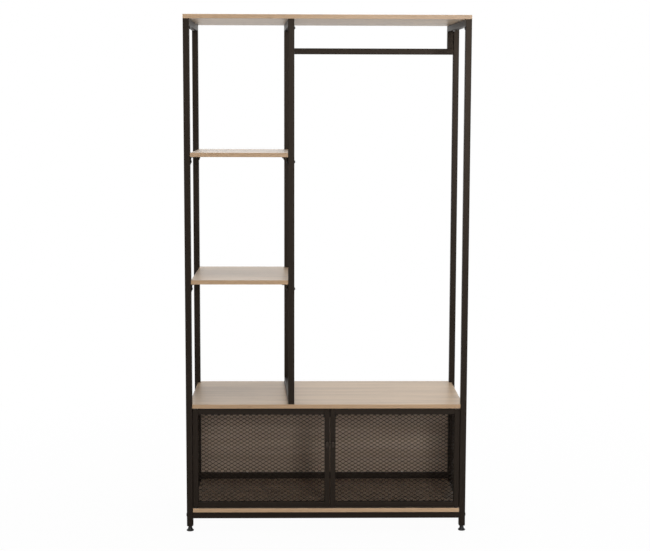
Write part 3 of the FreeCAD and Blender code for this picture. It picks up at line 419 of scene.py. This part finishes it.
def rounded_ring(width, height, corner, steps=4, support=EDGE_SUPPORT):
    """Rounded rectangle about the origin: a quarter circle at each corner, and a point just
    beyond each end of it on the straight sides, which keeps those sides' shading flat.

    Gives the points, and the map coordinate that is a whole number in the middle of each corner.
    """
    turn = np.linspace(0.0, np.pi / 2, steps + 1)
    quarter = np.stack([np.cos(turn), np.sin(turn)], -1) * corner
    quarter = np.concatenate([[[corner, -support]], quarter, [[-support, corner]]])
    centre = np.array([width / 2 - corner, height / 2 - corner])
    ring, around = [], []
    spread = np.concatenate([[-SUPPORT_SPREAD], np.linspace(-CORNER_SPREAD, CORNER_SPREAD, steps + 1),
                             [SUPPORT_SPREAD]])
    for side in range(4):
        cosine, sine = [(1, 0), (0, 1), (-1, 0), (0, -1)][side]
        middle = centre * [[1, 1], [-1, 1], [-1, -1], [1, -1]][side]
        ring.append(quarter @ np.array([[cosine, sine], [-sine, cosine]]) + middle)
        around.append(spread + side)
    around = np.concatenate(around)
    return np.concatenate(ring), np.append(around, around[0] + 4.0)


# A ring this far from each end keeps the shading of the tube's sides straight.
TUBE_END_SUPPORT = 0.004


def square_tube(shell, node, side, corner, lean=0.0):
    """Hollow square tube in the place of a CAD tube: a rounded square ring carried from end to
    end of its longest side, back inside as a smaller ring, and closed on itself.

    lean shifts the far end sideways, for the rungs that drift as they go back.
    """
    low, high = (np.array(box_corner) for box_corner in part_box(node))
    axis = int(np.argmax(high - low))
    others = [index for index in range(3) if index != axis]
    bore = side - 2 * TUBE_WALL
    outer, around = rounded_ring(side, side, corner)
    inner, _ = rounded_ring(bore, bore, max(corner - TUBE_WALL, LEAST_CORNER))
    end_ring = outer * (1 - 2 * TUBE_CHAMFER / side)
    start = (low + high) / 2
    start[axis] = low[axis]
    start[0] -= lean / 2
    length = high[axis] - low[axis]
    stations = [(end_ring, 0.0), (outer, TUBE_CHAMFER), (outer, TUBE_END_SUPPORT),
                (outer, length - TUBE_END_SUPPORT), (outer, length - TUBE_CHAMFER), (end_ring, length),
                (inner, length), (inner, 0.0)]
    rings = np.zeros((len(stations), len(outer), 3))
    for row, (ring, way) in zip(rings, stations):
        row[:, others[0]] = start[others[0]] + ring[:, 0]
        row[:, others[1]] = start[others[1]] + ring[:, 1]
        row[:, axis] = start[axis] + way
        row[:, 0] += lean * way / length
    return shell.grid(rings, along_closed=True, around=around)


def stack_of_rings(levels, place):
    """Rings at several levels as one grid: each level is (along, ring of two columns), and place
    turns the ring's two columns and the level into x, y and z."""
    return np.stack([np.stack(place(ring[:, 0], ring[:, 1], np.full(len(ring), along)), -1)
                     for along, ring in levels])


def bar_frame(shell, low, high, width, corner):
    """Flat-bar frame with mitred corners: a rounded bar's ring carried round a rectangle in the YZ
    plane, closed on itself. The ring's first axis is the bar's thickness, the second its width."""
    ring, around = rounded_ring(high[0] - low[0], width, corner)
    x = (low[0] + high[0]) / 2 + ring[:, 0]
    inward = width / 2 + ring[:, 1]
    corners = np.array([[low[1], low[2], 1, 1], [high[1], low[2], -1, 1],
                        [high[1], high[2], -1, -1], [low[1], high[2], 1, -1]], float)
    rings = np.stack([np.broadcast_to(x, (4, len(x))),
                      corners[:, None, 0] + corners[:, None, 2] * inward,
                      corners[:, None, 1] + corners[:, None, 3] * inward], -1)
    return shell.grid(rings, along_closed=True, around=around)


STRAND_POINTS = 5
LEAST_STRAND_SHARE = 0.05
EASE_SAMPLES = 41


def climbed(share):
    """How far a strand has climbed, from 0 to 1, after a share of its way across: a straight
    slope less one sine wave, so that it flattens towards both bonds."""
    return share - STRAND_EASE * np.sin(2 * np.pi * share) / (2 * np.pi)


def expanded_mesh(shell, low, high, across_axis, overlap):
    """Expanded metal between two corners of a panel: strands from bond to bond of a staggered
    lattice.

    A strand's middle line runs half a pitch across while it climbs half a pitch along a smooth
    step that flattens towards the bonds. Its section is a flat bar tilted out of the sheet.
    Strands are cut at the panel's border, moved outward by the overlap, so that their ends are
    covered by the tubes or bars round the panel.
    """
    width, height = high[across_axis] - low[across_axis], high[2] - low[2]
    columns = int(round(width / MESH_PITCH_ACROSS * 2)) + 2
    rows = int(round(height / MESH_PITCH_UP * 2)) + 2
    step_x, step_z = MESH_PITCH_ACROSS / 2, MESH_PITCH_UP / 2
    column, row, rise = np.meshgrid(np.arange(-1, columns), np.arange(-1, rows), [1, -1], indexing="ij")
    kept = (column + row) % 2 == 0
    column, row, rise = column[kept], row[kept], rise[kept]
    x0 = (width - (columns - 1) * step_x) / 2 + column * step_x
    z0 = (height - (rows - 1) * step_z) / 2 + row * step_z
    # the share of each strand that lies between the side borders, then between the lower and
    # the upper border, where the climb is turned back into a share
    sides = (np.array([[-overlap, width + overlap]]) - x0[:, None]) / step_x
    sides = np.clip(sides, 0, 1)
    climb = rise[:, None] * (np.array([[-overlap, height + overlap]]) - z0[:, None]) / step_z
    run = np.linspace(0, 1, EASE_SAMPLES)
    levels = np.interp(np.sort(climb, axis=1), climbed(run), run)
    first, last = np.maximum(sides[:, 0], levels[:, 0]), np.minimum(sides[:, 1], levels[:, 1])
    inside = last - first > LEAST_STRAND_SHARE
    x0, z0, rise, first, last = x0[inside], z0[inside], rise[inside], first[inside], last[inside]
    share = first[:, None] + (last - first)[:, None] * np.linspace(0, 1, STRAND_POINTS)
    line_x = x0[:, None] + share * step_x
    line_z = z0[:, None] + rise[:, None] * climbed(share) * step_z
    wide, thick = STRAND_WIDTH / 2, STRAND_THICKNESS / 2
    section = np.array([[-wide, -thick], [wide, -thick], [wide, thick], [-wide, thick]])
    up = section[:, 0] * math.cos(STRAND_TILT) - section[:, 1] * math.sin(STRAND_TILT)
    out = section[:, 0] * math.sin(STRAND_TILT) + section[:, 1] * math.cos(STRAND_TILT)
    deep_axis = 1 - across_axis
    points = np.zeros((*line_x.shape, len(section), 3))
    points[..., across_axis] = low[across_axis] + line_x[..., None]
    points[..., 2] = np.clip(low[2] + line_z[..., None] + up, low[2] - overlap, high[2] + overlap)
    points[..., deep_axis] = (low[deep_axis] + high[deep_axis]) / 2 + out
    return shell.grid(points)


# The shape of a station's ring in turned(): a circle, a hexagon or a cross.
ROUND, HEXAGON, CROSS = 0, 6, 4
# how far the cross's hollows reach in, and how slender its arms are
CROSS_WEB, CROSS_POWER = 0.35, 3


def turned(shell, profile, centre, direction, sides=24, shut=False):
    """Surface of revolution: stations of (distance along, radius) turned about an axis that leaves
    a centre in a direction. A third value may give a station's ring another shape: HEXAGON with
    that corner radius, or CROSS with that reach. The two ends are closed by flat faces; where shut
    is set the last station joins the first instead, which leaves a hole along the axis."""
    axis = Vector(direction).normalized()
    side = axis.orthogonal().normalized()
    other = axis.cross(side)
    turn = np.linspace(0, 2 * np.pi, sides, endpoint=False)
    outline = {ROUND: np.ones(sides),
               CROSS: CROSS_WEB + (1 - CROSS_WEB) * np.abs(np.cos(2 * turn)) ** CROSS_POWER,
               HEXAGON: math.cos(math.pi / 6) / np.cos(turn % (math.pi / 3) - math.pi / 6)}
    spokes = np.cos(turn)[:, None] * np.array(side) + np.sin(turn)[:, None] * np.array(other)
    rings = []
    for station in profile:
        along, radius, shape = (*station, ROUND)[:3]
        rings.append(np.array(centre) + along * np.array(axis) + (radius * outline[shape])[:, None] * spokes)
    return shell.grid(np.array(rings), along_closed=shut)


NUT_EDGE, NUT_FACE_SHARE = 0.0005, 0.90


def nut(shell, centre, direction, radius, height):
    """Hexagonal nut: a hexagon carried along its axis and drawn in to a circle at both faces."""
    turned(shell, [(0.0, NUT_FACE_SHARE * radius), (NUT_EDGE, radius, HEXAGON),
                   (height - NUT_EDGE, radius, HEXAGON), (height, NUT_FACE_SHARE * radius)],
           centre, direction)


SOCKET_SHARE, SOCKET_FLOOR_SHARE, SHANK_TIP_SHARE = 0.55, 0.3, 0.8
SHANK_TIP, SEAT_EDGE, SOCKET_EDGE = 0.0006, 0.0002, 0.0003
# the rounded rim of a bolt's head: (below the top, inward)
HEAD_RIM = ((0.0006, 0.0), (0.0002, 0.0003), (0.0, 0.0008))


def socket_bolt(shell, seat, outward, head, shank, reach):
    """Bolt with a round head, given as its radius and height, that stands outward from its seat
    and has a hexagonal socket. The shank reaches inward from the seat."""
    radius, height = head
    socket = SOCKET_SHARE * radius
    turned(shell, [(-reach, SHANK_TIP_SHARE * shank), (SHANK_TIP - reach, shank), (0.0, shank),
                   (0.0, radius - SEAT_EDGE), (SEAT_EDGE, radius),
                   *((height - below, radius - inward) for below, inward in HEAD_RIM),
                   (height, socket + SOCKET_EDGE), (height - SOCKET_EDGE, socket, HEXAGON),
                   (SOCKET_FLOOR_SHARE * height, socket, HEXAGON)], seat, outward)


SCREW_REACH, SCREW_TIP_LENGTH, SCREW_TIP, SCREW_SHANK = 0.033, 0.006, 0.0003, 0.0019
SCREW_HEAD, SCREW_HEAD_HEIGHT, SCREW_SEAT_EDGE = 0.004, 0.0022, 0.0003
# the pan head and its cross recess as shares of the head's height and radius
PAN_HEAD = ((0.5, 0.93), (0.85, 0.72), (1.0, 0.52), (1.0, 0.46, CROSS), (0.4, 0.30, CROSS))


def board_screw(shell, seat, outward):
    """Wood screw: the profile of its tip, shank and pan head turned about its axis, then a ring in
    the shape of a cross carried back into the head."""
    turned(shell, [(-SCREW_REACH, SCREW_TIP), (SCREW_TIP_LENGTH - SCREW_REACH, SCREW_SHANK),
                   (0.0, SCREW_SHANK), (0.0, SCREW_HEAD - SEAT_EDGE), (SCREW_SEAT_EDGE, SCREW_HEAD),
                   *((up * SCREW_HEAD_HEIGHT, out * SCREW_HEAD, *shape) for up, out, *shape in PAN_HEAD)],
           seat, outward)


BRACKET_THICK, BRACKET_REACH, BRACKET_DROP, BRACKET_WIDTH = 0.002, 0.022, 0.026, 0.018
BRACKET_BEND, BRACKET_TIP, BRACKET_EDGE, BRACKET_END_SHARE = 0.0035, 0.0004, 0.0003, 0.97
BEND_STEPS = 7


def bent_bracket(shell, face, away, under, low_y):
    """Angle of bent strip: one leg down the post's face and one under the shelf, with a rounded
    bend. The section's outline is carried across the strip's width, a little smaller at both ends."""
    thick, reach, drop, tip = BRACKET_THICK, BRACKET_REACH, BRACKET_DROP, BRACKET_TIP
    turn = np.linspace(np.pi / 2, 0, BEND_STEPS)[:, None]
    arc = np.concatenate([np.cos(turn), np.sin(turn)], -1)
    outer = BRACKET_BEND - BRACKET_BEND * arc[::-1]
    inner = BRACKET_BEND - (BRACKET_BEND - thick) * arc
    straight = BRACKET_BEND + EDGE_SUPPORT
    outline = np.concatenate([[[reach - tip, 0.0], [straight, 0.0]], outer,
                              [[0.0, straight], [0.0, drop - tip], [tip, drop], [thick - tip, drop],
                               [thick, drop - tip], [thick, straight]], inner[::-1],
                              [[straight, thick], [reach - tip, thick], [reach, thick - tip], [reach, tip]]])
    middle = outline.mean(0)
    levels = [(low_y + across, middle + (outline - middle) * share)
              for across, share in ((0.0, BRACKET_END_SHARE), (BRACKET_EDGE, 1.0),
                                    (BRACKET_WIDTH - BRACKET_EDGE, 1.0), (BRACKET_WIDTH, BRACKET_END_SHARE))]
    shell.grid(stack_of_rings(levels, lambda out, down, y: (face + away * out, y, under - down)))


PLUG_CORNER, PLUG_EDGE, BROKEN_EDGE_SHARE = 0.0015, 0.0004, 0.96


def tube_plug(shell, centre, low, high, width):
    """Square plug inside a tube's end: a rounded square ring carried up, smaller at both ends."""
    ring, _ = rounded_ring(width, width, PLUG_CORNER)
    levels = [(z, share * ring) for z, share in ((low, BROKEN_EDGE_SHARE), (low + PLUG_EDGE, 1.0),
                                                 (high - PLUG_EDGE, 1.0), (high, BROKEN_EDGE_SHARE))]
    shell.grid(stack_of_rings(levels, lambda x, y, z: (centre[0] + x, centre[1] + y, z)))


# Frame, doors and feet

# each tube of the frame, and how far its rear end drifts in x
RIGHT_RUNG_DRIFT, DIVIDER_DRIFT = -0.022, -0.0195
FRAME_TUBES = {
    "front_left_post": 0.0, "rear_left_post": 0.0, "front_right_post": 0.0, "rear_right_post": 0.0,
    "divider_front_post": 0.0, "divider_rear_post": 0.0, "left_top_rung": 0.0,
    "right_top_rung": RIGHT_RUNG_DRIFT, "divider_top_rung": DIVIDER_DRIFT, "left_bottom_rung": 0.0,
    "right_bottom_rung": 0.0, "divider_bottom_rung": DIVIDER_DRIFT, "front_bottom_rail": 0.0,
    "rear_bottom_rail": 0.0, "front_middle_rail": 0.0, "rear_middle_rail": 0.0, "hanging_rail": 0.0,
    "hanging_rail_riser": 0.0,
}
for node, lean in FRAME_TUBES.items():
    square_tube(Shell(), node, POST, POST_CORNER, lean).make(node + "_tube", "frame", "tube_coat", node)

GRIP_WIDTH, GRIP_HEIGHT, GRIP_CORNER, GRIP_DEPTH = 0.012, 0.023, 0.0056, 0.008
GRIP_RIM, GRIP_LEAST_CORNER, GRIP_SUPPORT = 0.0022, 0.001, 0.0001
GRIP_CORNER_STEPS, GRIP_RIM_POINTS = 8, 6
# how far the grip's outline draws in towards its rear rim: (in front of the rim, inward)
GRIP_REAR_RIM = ((0.0, 0.0010), (0.0004, 0.0004), (0.0009, 0.0))
# (away from the door, radius)
NECK_PROFILE = [(0.0, 0.0046), (0.0006, 0.0042), (0.0012, 0.0038), (0.0044, 0.0038), (0.0055, 0.0048)]


def door_pull(shell, low, high):
    """Oval grip on a turned neck. The grip's outline is drawn in towards its rear rim, and towards
    its front along a quarter circle."""
    x, z = (low[0] + high[0]) / 2, (low[2] + high[2]) / 2
    rim = np.linspace(0, np.pi / 2, GRIP_RIM_POINTS)
    levels = [(low[1] + GRIP_DEPTH - ahead, inset) for ahead, inset in GRIP_REAR_RIM]
    levels += [(low[1] + GRIP_RIM * (1 - math.sin(angle)), GRIP_RIM * (1 - math.cos(angle)))
               for angle in rim]
    rings = [(y, rounded_ring(GRIP_WIDTH - 2 * inset, GRIP_HEIGHT - 2 * inset,
                              max(GRIP_CORNER - inset, GRIP_LEAST_CORNER),
                              GRIP_CORNER_STEPS, GRIP_SUPPORT)[0])
             for y, inset in levels]
    shell.grid(stack_of_rings(rings, lambda across, up, y: (x + across, y, z + up)))
    turned(shell, NECK_PROFILE, (x, high[1], z), (0, -1, 0))


for side in ("left", "right"):
    for part in ("hinge_stile", "meeting_stile", "top_rail", "bottom_rail"):
        node = f"{side}_door_{part}"
        square_tube(Shell(), node, DOOR_TUBE, DOOR_CORNER).make(
            node + "_tube", f"{side}_door", "tube_coat", node)
    low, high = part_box(f"{side}_door_mesh")
    expanded_mesh(Shell(), low, high, 0, MESH_OVERLAP).make(
        f"{side}_door_grille", f"{side}_door", "mesh_coat", f"{side}_door_mesh")

    low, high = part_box(f"{side}_side_panel_frame")
    bar_frame(Shell(), low, high, SIDE_BAR_WIDTH, SIDE_BAR_CORNER).make(
        f"{side}_side_bars", "frame", "bar_coat", f"{side}_side_panel_frame")
    low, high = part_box(f"{side}_side_mesh")
    expanded_mesh(Shell(), low, high, 1, MESH_OVERLAP).make(
        f"{side}_side_grille", "frame", "mesh_coat", f"{side}_side_mesh")

    low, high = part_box(f"{side}_door_pull")
    shell = Shell()
    door_pull(shell, low, high)
    shell.make(f"{side}_door_knob", f"{side}_door", "pull_coat", f"{side}_door_pull")

# (above the floor, radius)
PAD_PROFILE = [(0.0, 0.0120), (0.0004, 0.0127), (0.0012, 0.0130), (0.0024, 0.0130), (0.0031, 0.0127),
               (0.0036, 0.0120), (0.0060, 0.0098), (0.0086, 0.0082), (0.0102, 0.0077), (0.0110, 0.0075)]
PAD_SIDES, STEM_SIDES = 40, 20
FOOT_HEX_BOTTOM, FOOT_HEX_TOP, FOOT_HEX = 0.0110, 0.0187, 0.0075
# half of the thread's pitch, its crest and root, the stem's neck above the hexagon and its tip
THREAD_STEP, THREAD_CREST, THREAD_ROOT = 0.000625, 0.0040, 0.0035
STEM_NECK, STEM_NECK_LENGTH, STEM_TIP, STEM_TIP_LENGTH = 0.0036, 0.0004, 0.0032, 0.001

# levelling feet: a turned pad, a hexagon above it and a stem whose thread is a stack of rings
for corner in ("front_left", "front_right", "rear_left", "rear_right"):
    low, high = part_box(corner + "_foot_pad")
    x, y = (low[0] + high[0]) / 2, (low[1] + high[1]) / 2
    turned(Shell(), PAD_PROFILE, (x, y, low[2]), (0, 0, 1), PAD_SIDES).make(
        corner + "_foot_cone", corner + "_foot", "foot_black", corner + "_foot_pad")
    stem_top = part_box(corner + "_foot_stem")[1][2]
    shell = Shell()
    nut(shell, (x, y, FOOT_HEX_BOTTOM), (0, 0, 1), FOOT_HEX, FOOT_HEX_TOP - FOOT_HEX_BOTTOM)
    length = stem_top - FOOT_HEX_TOP
    turns = np.arange(0.0, length - STEM_TIP_LENGTH, THREAD_STEP)
    radii = np.where(np.arange(len(turns)) % 2 == 0, THREAD_CREST, THREAD_ROOT)
    turned(shell, [(0.0, STEM_NECK), *zip(turns + STEM_NECK_LENGTH, radii), (length, STEM_TIP)],
           (x, y, FOOT_HEX_TOP), (0, 0, 1), STEM_SIDES)
    shell.make(corner + "_foot_screw", corner + "_foot", "black_zinc", corner + "_foot_stem")

# Fasteners, brackets and hinges

# the middles of the front and rear posts and the rear face in y, then in x, from the rack's middle,
# the middle and the two faces of an end's posts, and the divider's right faces and rear middle
FRONT_AXIS, REAR_AXIS, REAR_FACE = -0.184, 0.194, 0.205
POST_MIDDLE, OUTER_FACE, INNER_FACE = 0.489, 0.500, 0.478
DIVIDER_FACE, DIVIDER_REAR_FACE, DIVIDER_REAR_MIDDLE = -0.1145, -0.134, -0.145

# a bolt's head radius and height, and its shank's radius
SIDE_BOLT = (0.006, 0.002), 0.003
TALL_BOLT = (0.0045, 0.0028), 0.0025
FLAT_BOLT = (0.0045, 0.002), 0.0025
SIDE_BOLT_REACH, SIDE_BOLT_FRONT_Z, SIDE_BOLT_REAR_Z = 0.034, 0.0585, 0.0955
PLUG_BOLT_REACH, PLUG_BOLT_Z = 0.0112, 1.789

shell = Shell()
for away in (-1, 1):
    for y, z in ((FRONT_AXIS, SIDE_BOLT_FRONT_Z), (REAR_AXIS, SIDE_BOLT_REAR_Z)):
        socket_bolt(shell, (away * OUTER_FACE, y, z), (away, 0, 0), *SIDE_BOLT, SIDE_BOLT_REACH)
for face, away in ((-INNER_FACE, 1), (DIVIDER_FACE, 1), (INNER_FACE, -1)):
    socket_bolt(shell, (face, FRONT_AXIS, PLUG_BOLT_Z), (away, 0, 0), *TALL_BOLT, PLUG_BOLT_REACH)
for x in (-POST_MIDDLE, DIVIDER_REAR_MIDDLE, POST_MIDDLE):
    socket_bolt(shell, (x, REAR_FACE, PLUG_BOLT_Z), (0, 1, 0), *FLAT_BOLT, PLUG_BOLT_REACH)
shell.make("frame_bolt_set", "frame", "black_zinc", "frame_bolts")

SHELF_UNDERSIDES = (0.8945, 1.3425)
BRACKET_BOLT_DROP, BRACKET_BOLT_REACH = 0.0165, 0.013
BRACKET_NUT, BRACKET_NUT_HEIGHT = 0.0046, 0.004

# Each shelf rests on a bracket at each post beside it. On the left the bolt's head lies on the
# bracket; through the divider's posts it comes from the right and its nut lies on the bracket.
bolts, brackets = Shell(), Shell()
through = POST + BRACKET_THICK + BRACKET_NUT_HEIGHT
for under in SHELF_UNDERSIDES:
    z = under - BRACKET_BOLT_DROP
    for y in (FRONT_AXIS, REAR_AXIS):
        socket_bolt(bolts, (BRACKET_THICK - INNER_FACE, y, z), (1, 0, 0), *TALL_BOLT, BRACKET_BOLT_REACH)
        bent_bracket(brackets, -INNER_FACE, 1, under, y - BRACKET_WIDTH / 2)
    for face, y in ((DIVIDER_FACE, FRONT_AXIS), (DIVIDER_REAR_FACE, REAR_AXIS)):
        socket_bolt(bolts, (face, y, z), (1, 0, 0), *TALL_BOLT, through)
        nut(bolts, (face - through, y, z), (1, 0, 0), BRACKET_NUT, BRACKET_NUT_HEIGHT)
        bent_bracket(brackets, face - POST, -1, under, y - BRACKET_WIDTH / 2)
bolts.make("shelf_bolt_set", "frame", "black_zinc", "shelf_bolts")
brackets.make("shelf_bracket_set", "frame", "bar_coat", "shelf_brackets")

TOP_RUNG_UNDER, MIDDLE_RAIL_UNDER, FRONT_RAIL_UNDER, REAR_RAIL_TOP = 1.798, 0.427, 0.0475, 0.1065
MIDDLE_RAIL_AXIS = -0.160
RAIL_SCREW_X = 0.3
# the two screws of each top rung; the right rung drifts, so its screws stand at two places in x
RUNG_SCREWS = ((-POST_MIDDLE, -0.105), (-POST_MIDDLE, 0.115), (0.4848, -0.105), (0.4712, 0.115))
RAIL_SCREWS = ((FRONT_AXIS, FRONT_RAIL_UNDER), (MIDDLE_RAIL_AXIS, MIDDLE_RAIL_UNDER),
               (REAR_AXIS, MIDDLE_RAIL_UNDER))

shell = Shell()
for x, y in RUNG_SCREWS:
    board_screw(shell, (x, y, TOP_RUNG_UNDER), (0, 0, -1))
for y, z in RAIL_SCREWS:
    for x in (-RAIL_SCREW_X, RAIL_SCREW_X):
        board_screw(shell, (x, y, z), (0, 0, -1))
for x in (-RAIL_SCREW_X, RAIL_SCREW_X):
    board_screw(shell, (x, REAR_AXIS, REAR_RAIL_TOP), (0, 0, 1))
shell.make("board_screw_set", "frame", "bright_zinc", "board_screws")

# the pins' axis, the middle and width of the plugs in the stiles, and the plugs' lower and upper ends
PIN_X, PIN_Y, PIN_PLUG_Y, PIN_PLUG_WIDTH = 0.467, -0.1875, -0.1845, 0.0165
LOWER_PLUG, UPPER_PLUG = (0.0875, 0.1015), (0.432, 0.446)
# the faces of the boards below and above the doors
FLOOR_FACE, ROOF_FACE = 0.0845, 0.449
# (out of the board's face, radius): the bush's bore is the jump from the last station to the first
BUSH_PROFILE = [(-0.010, 0.0034), (-0.010, 0.0046), (-0.0096, 0.0050), (0.0, 0.0050), (0.0, 0.0068),
                (0.0003, 0.0070), (0.0023, 0.0070), (0.0027, 0.0066), (0.0027, 0.0036), (0.0024, 0.0034)]
PIN_PROFILE = [(-0.008, 0.0024), (-0.0074, 0.0030), (0.0036, 0.0030)]
STRIKE_CORNER, STRIKE_EDGE = 0.0012, 0.0003


def strike_plate(shell, low, high):
    """Thin plate: a rounded ring carried back through the plate and drawn in at the rear face."""
    x, z = (low[0] + high[0]) / 2, (low[2] + high[2]) / 2
    ring, _ = rounded_ring(high[0] - low[0], high[2] - low[2], STRIKE_CORNER)
    levels = ((low[1], ring), (high[1] - STRIKE_EDGE, ring), (high[1], BROKEN_EDGE_SHARE * ring))
    shell.grid(stack_of_rings(levels, lambda across, up, y: (x + across, y, z + up)))


# hinges: a flanged bush in the board and a pin in the stile's end, below and above each door
bushes = Shell()
for side, x in (("left", -PIN_X), ("right", PIN_X)):
    pins = Shell()
    for face, up, ends in ((FLOOR_FACE, 1, LOWER_PLUG), (ROOF_FACE, -1, UPPER_PLUG)):
        turned(bushes, BUSH_PROFILE, (x, PIN_Y, face), (0, 0, up), shut=True)
        tube_plug(pins, (x, PIN_PLUG_Y), *ends, PIN_PLUG_WIDTH)
        turned(pins, PIN_PROFILE, (x, PIN_Y, face), (0, 0, up))
    pins.make(f"{side}_door_pin_set", f"{side}_door", "bright_zinc", f"{side}_door_pins")

    low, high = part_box(f"{side}_door_strike")
    plate = Shell()
    strike_plate(plate, low, high)
    plate.make(f"{side}_door_strike_plate", f"{side}_door", "bright_zinc", f"{side}_door_strike")
bushes.make("hinge_bush_set", "frame", "plug_black", "hinge_bushes")

# Finishes of the CAD nodes that stay

STAYING = {
    "board_oak": ["top_board", "upper_shelf", "middle_shelf", "cabinet_top_board"],
    "floor_oak_painted_shade": ["bottom_board"],
    "back_oak": ["back_panel"],
    "plug_black": ["post_plugs", "threaded_inserts", "magnetic_catch"],
}
for material, names in STAYING.items():
    for name in names:
        NODE[name].data.materials.clear()
        NODE[name].data.materials.append(FINISHES[material][0])

# Floor, backdrop and light

WHITE = (1.0, 1.0, 1.0, 1.0)
PAPER = (0.9, 0.9, 0.9, 1.0)
FLOOR_REACH = 30.0
# how plain a white the camera sees on the floor by the rack, and where, in metres from the rack's
# middle, it goes over to the white of the backdrop
FLOOR_WHITE, FLOOR_FADE = 0.97, (0.8, 2.4)
# where, in metres behind the rack's middle, the floor turns white to reflections
FLOOR_MIRROR_EDGES = (0.3, 2.5)

# the studio's light on the rack from the front, the back and above
FRONT_GLOW, BACK_GLOW, TOP_GLOW = 0.04, 0.80, 0.04
# edges in the direction that a ray goes, each coordinate from -1 to 1
BACK_EDGES, TOP_EDGES = (-0.25, 0.45), (0.0, 0.9)
WALL_SIDE_EDGES, WALL_FOOT_EDGES, WALL_TOP_EDGES = (-0.25, 0.35), (-0.02, 0.12), (0.5, 0.9)

# place, aim, width, height and watts
LAMPS = {
    "key_lamp": ((0.99, -4.2, 1.85), (0.0, 0.0, 0.85), 0.75, 0.95, 58.0),
    "near_lamp": ((-0.5, -4.7, 1.9), (0.0, 0.0, 1.1), 1.4, 0.9, 10.0),
    "top_lamp": ((0.2, -0.1, 3.8), (0.0, 0.0, 0.6), 2.4, 1.6, 86.0),
    "rear_lamp": ((0.0, 3.2, 3.4), (0.0, 0.0, 1.0), 3.0, 2.0, 50.0),
}


def seen(tree):
    """Two values, which are 0 for the light that falls on things: the first is 1 where the camera
    looks straight, the second also where it looks in a reflection or through clear material."""
    path = tree.nodes.new("ShaderNodeLightPath")
    camera, glossy, clear = (Wire(path.outputs[f"Is {kind} Ray"])
                             for kind in ("Camera", "Glossy", "Transmission"))
    return camera, camera.math("MAXIMUM", camera, glossy.math("MAXIMUM", glossy, clear))


def lay_floor():
    """Pale paper floor. To the camera it is nearly plain white: it keeps the rack's shadow near the
    rack and fades to the white of the backdrop further out. Reflections see it white only behind
    the rack, because the camera's side of the studio is dark."""
    sheet = bpy.data.meshes.new("floor")
    corners = (-1, -1), (1, -1), (1, 1), (-1, 1)
    sheet.from_pydata([(x * FLOOR_REACH, y * FLOOR_REACH, 0) for x, y in corners], [], [(0, 1, 2, 3)])
    floor = bpy.data.objects.new("floor", sheet)
    bpy.context.scene.collection.objects.link(floor)
    paper = bpy.data.materials.new("paper_floor")
    paper.use_nodes = True
    tree = paper.node_tree
    tree.nodes.clear()
    place = Wire(tree.nodes.new("ShaderNodeTexCoord").outputs["Object"])
    distance = place.node("ShaderNodeVectorMath", {"operation": "LENGTH"}, {0: place}, out=1)
    matt = place.node("ShaderNodeBsdfDiffuse", {}, {"Color": PAPER})
    white = place.node("ShaderNodeEmission", {}, {"Color": WHITE, "Strength": 1.0})
    share = FLOOR_WHITE + (1.0 - FLOOR_WHITE) * distance.ramp(*FLOOR_FADE)
    camera_ray, looked_at = seen(tree)
    shown = camera_ray + (looked_at - camera_ray) * place.parts()[1].ramp(*FLOOR_MIRROR_EDGES)
    mixed = place.node("ShaderNodeMixShader", {}, {0: shown * share, 1: matt, 2: white})
    output = tree.nodes.new("ShaderNodeOutputMaterial")
    tree.links.new(mixed.socket, output.inputs["Surface"])
    sheet.materials.append(paper)


def light_studio():
    """White backdrop all round for the camera. Its light on the rack comes nearly all from behind
    and is faint from the front and above. The coat mirrors the white behind the rack and a bright
    wall at the left of the camera, from the horizon upward; the rest of the camera's side is dark."""
    world = bpy.data.worlds.new("studio")
    world.use_nodes = True
    tree = world.node_tree
    tree.nodes.clear()
    across, deep, up = Wire(tree.nodes.new("ShaderNodeTexCoord").outputs["Generated"]).parts()
    camera_ray, looked_at = seen(tree)
    back = deep.ramp(*BACK_EDGES)
    lit = FRONT_GLOW + (BACK_GLOW - FRONT_GLOW) * back
    lit = lit + (TOP_GLOW - lit) * up.ramp(*TOP_EDGES)
    wall = ((0.0 - across).ramp(*WALL_SIDE_EDGES) * up.ramp(*WALL_FOOT_EDGES)
            * (1.0 - up.ramp(*WALL_TOP_EDGES)))
    mirrored = back + (1.0 - back) * wall
    strength = lit + (mirrored - lit) * looked_at
    strength = strength + (1.0 - strength) * camera_ray
    sky = across.node("ShaderNodeBackground", {}, {"Color": WHITE, "Strength": strength})
    output = tree.nodes.new("ShaderNodeOutputWorld")
    tree.links.new(sky.socket, output.inputs["Surface"])
    bpy.context.scene.world = world


lay_floor()
light_studio()
for name, lamp in LAMPS.items():
    hang_lamp(name, *lamp)

bpy.context.scene.view_settings.view_transform = "Standard"
stand_camera()
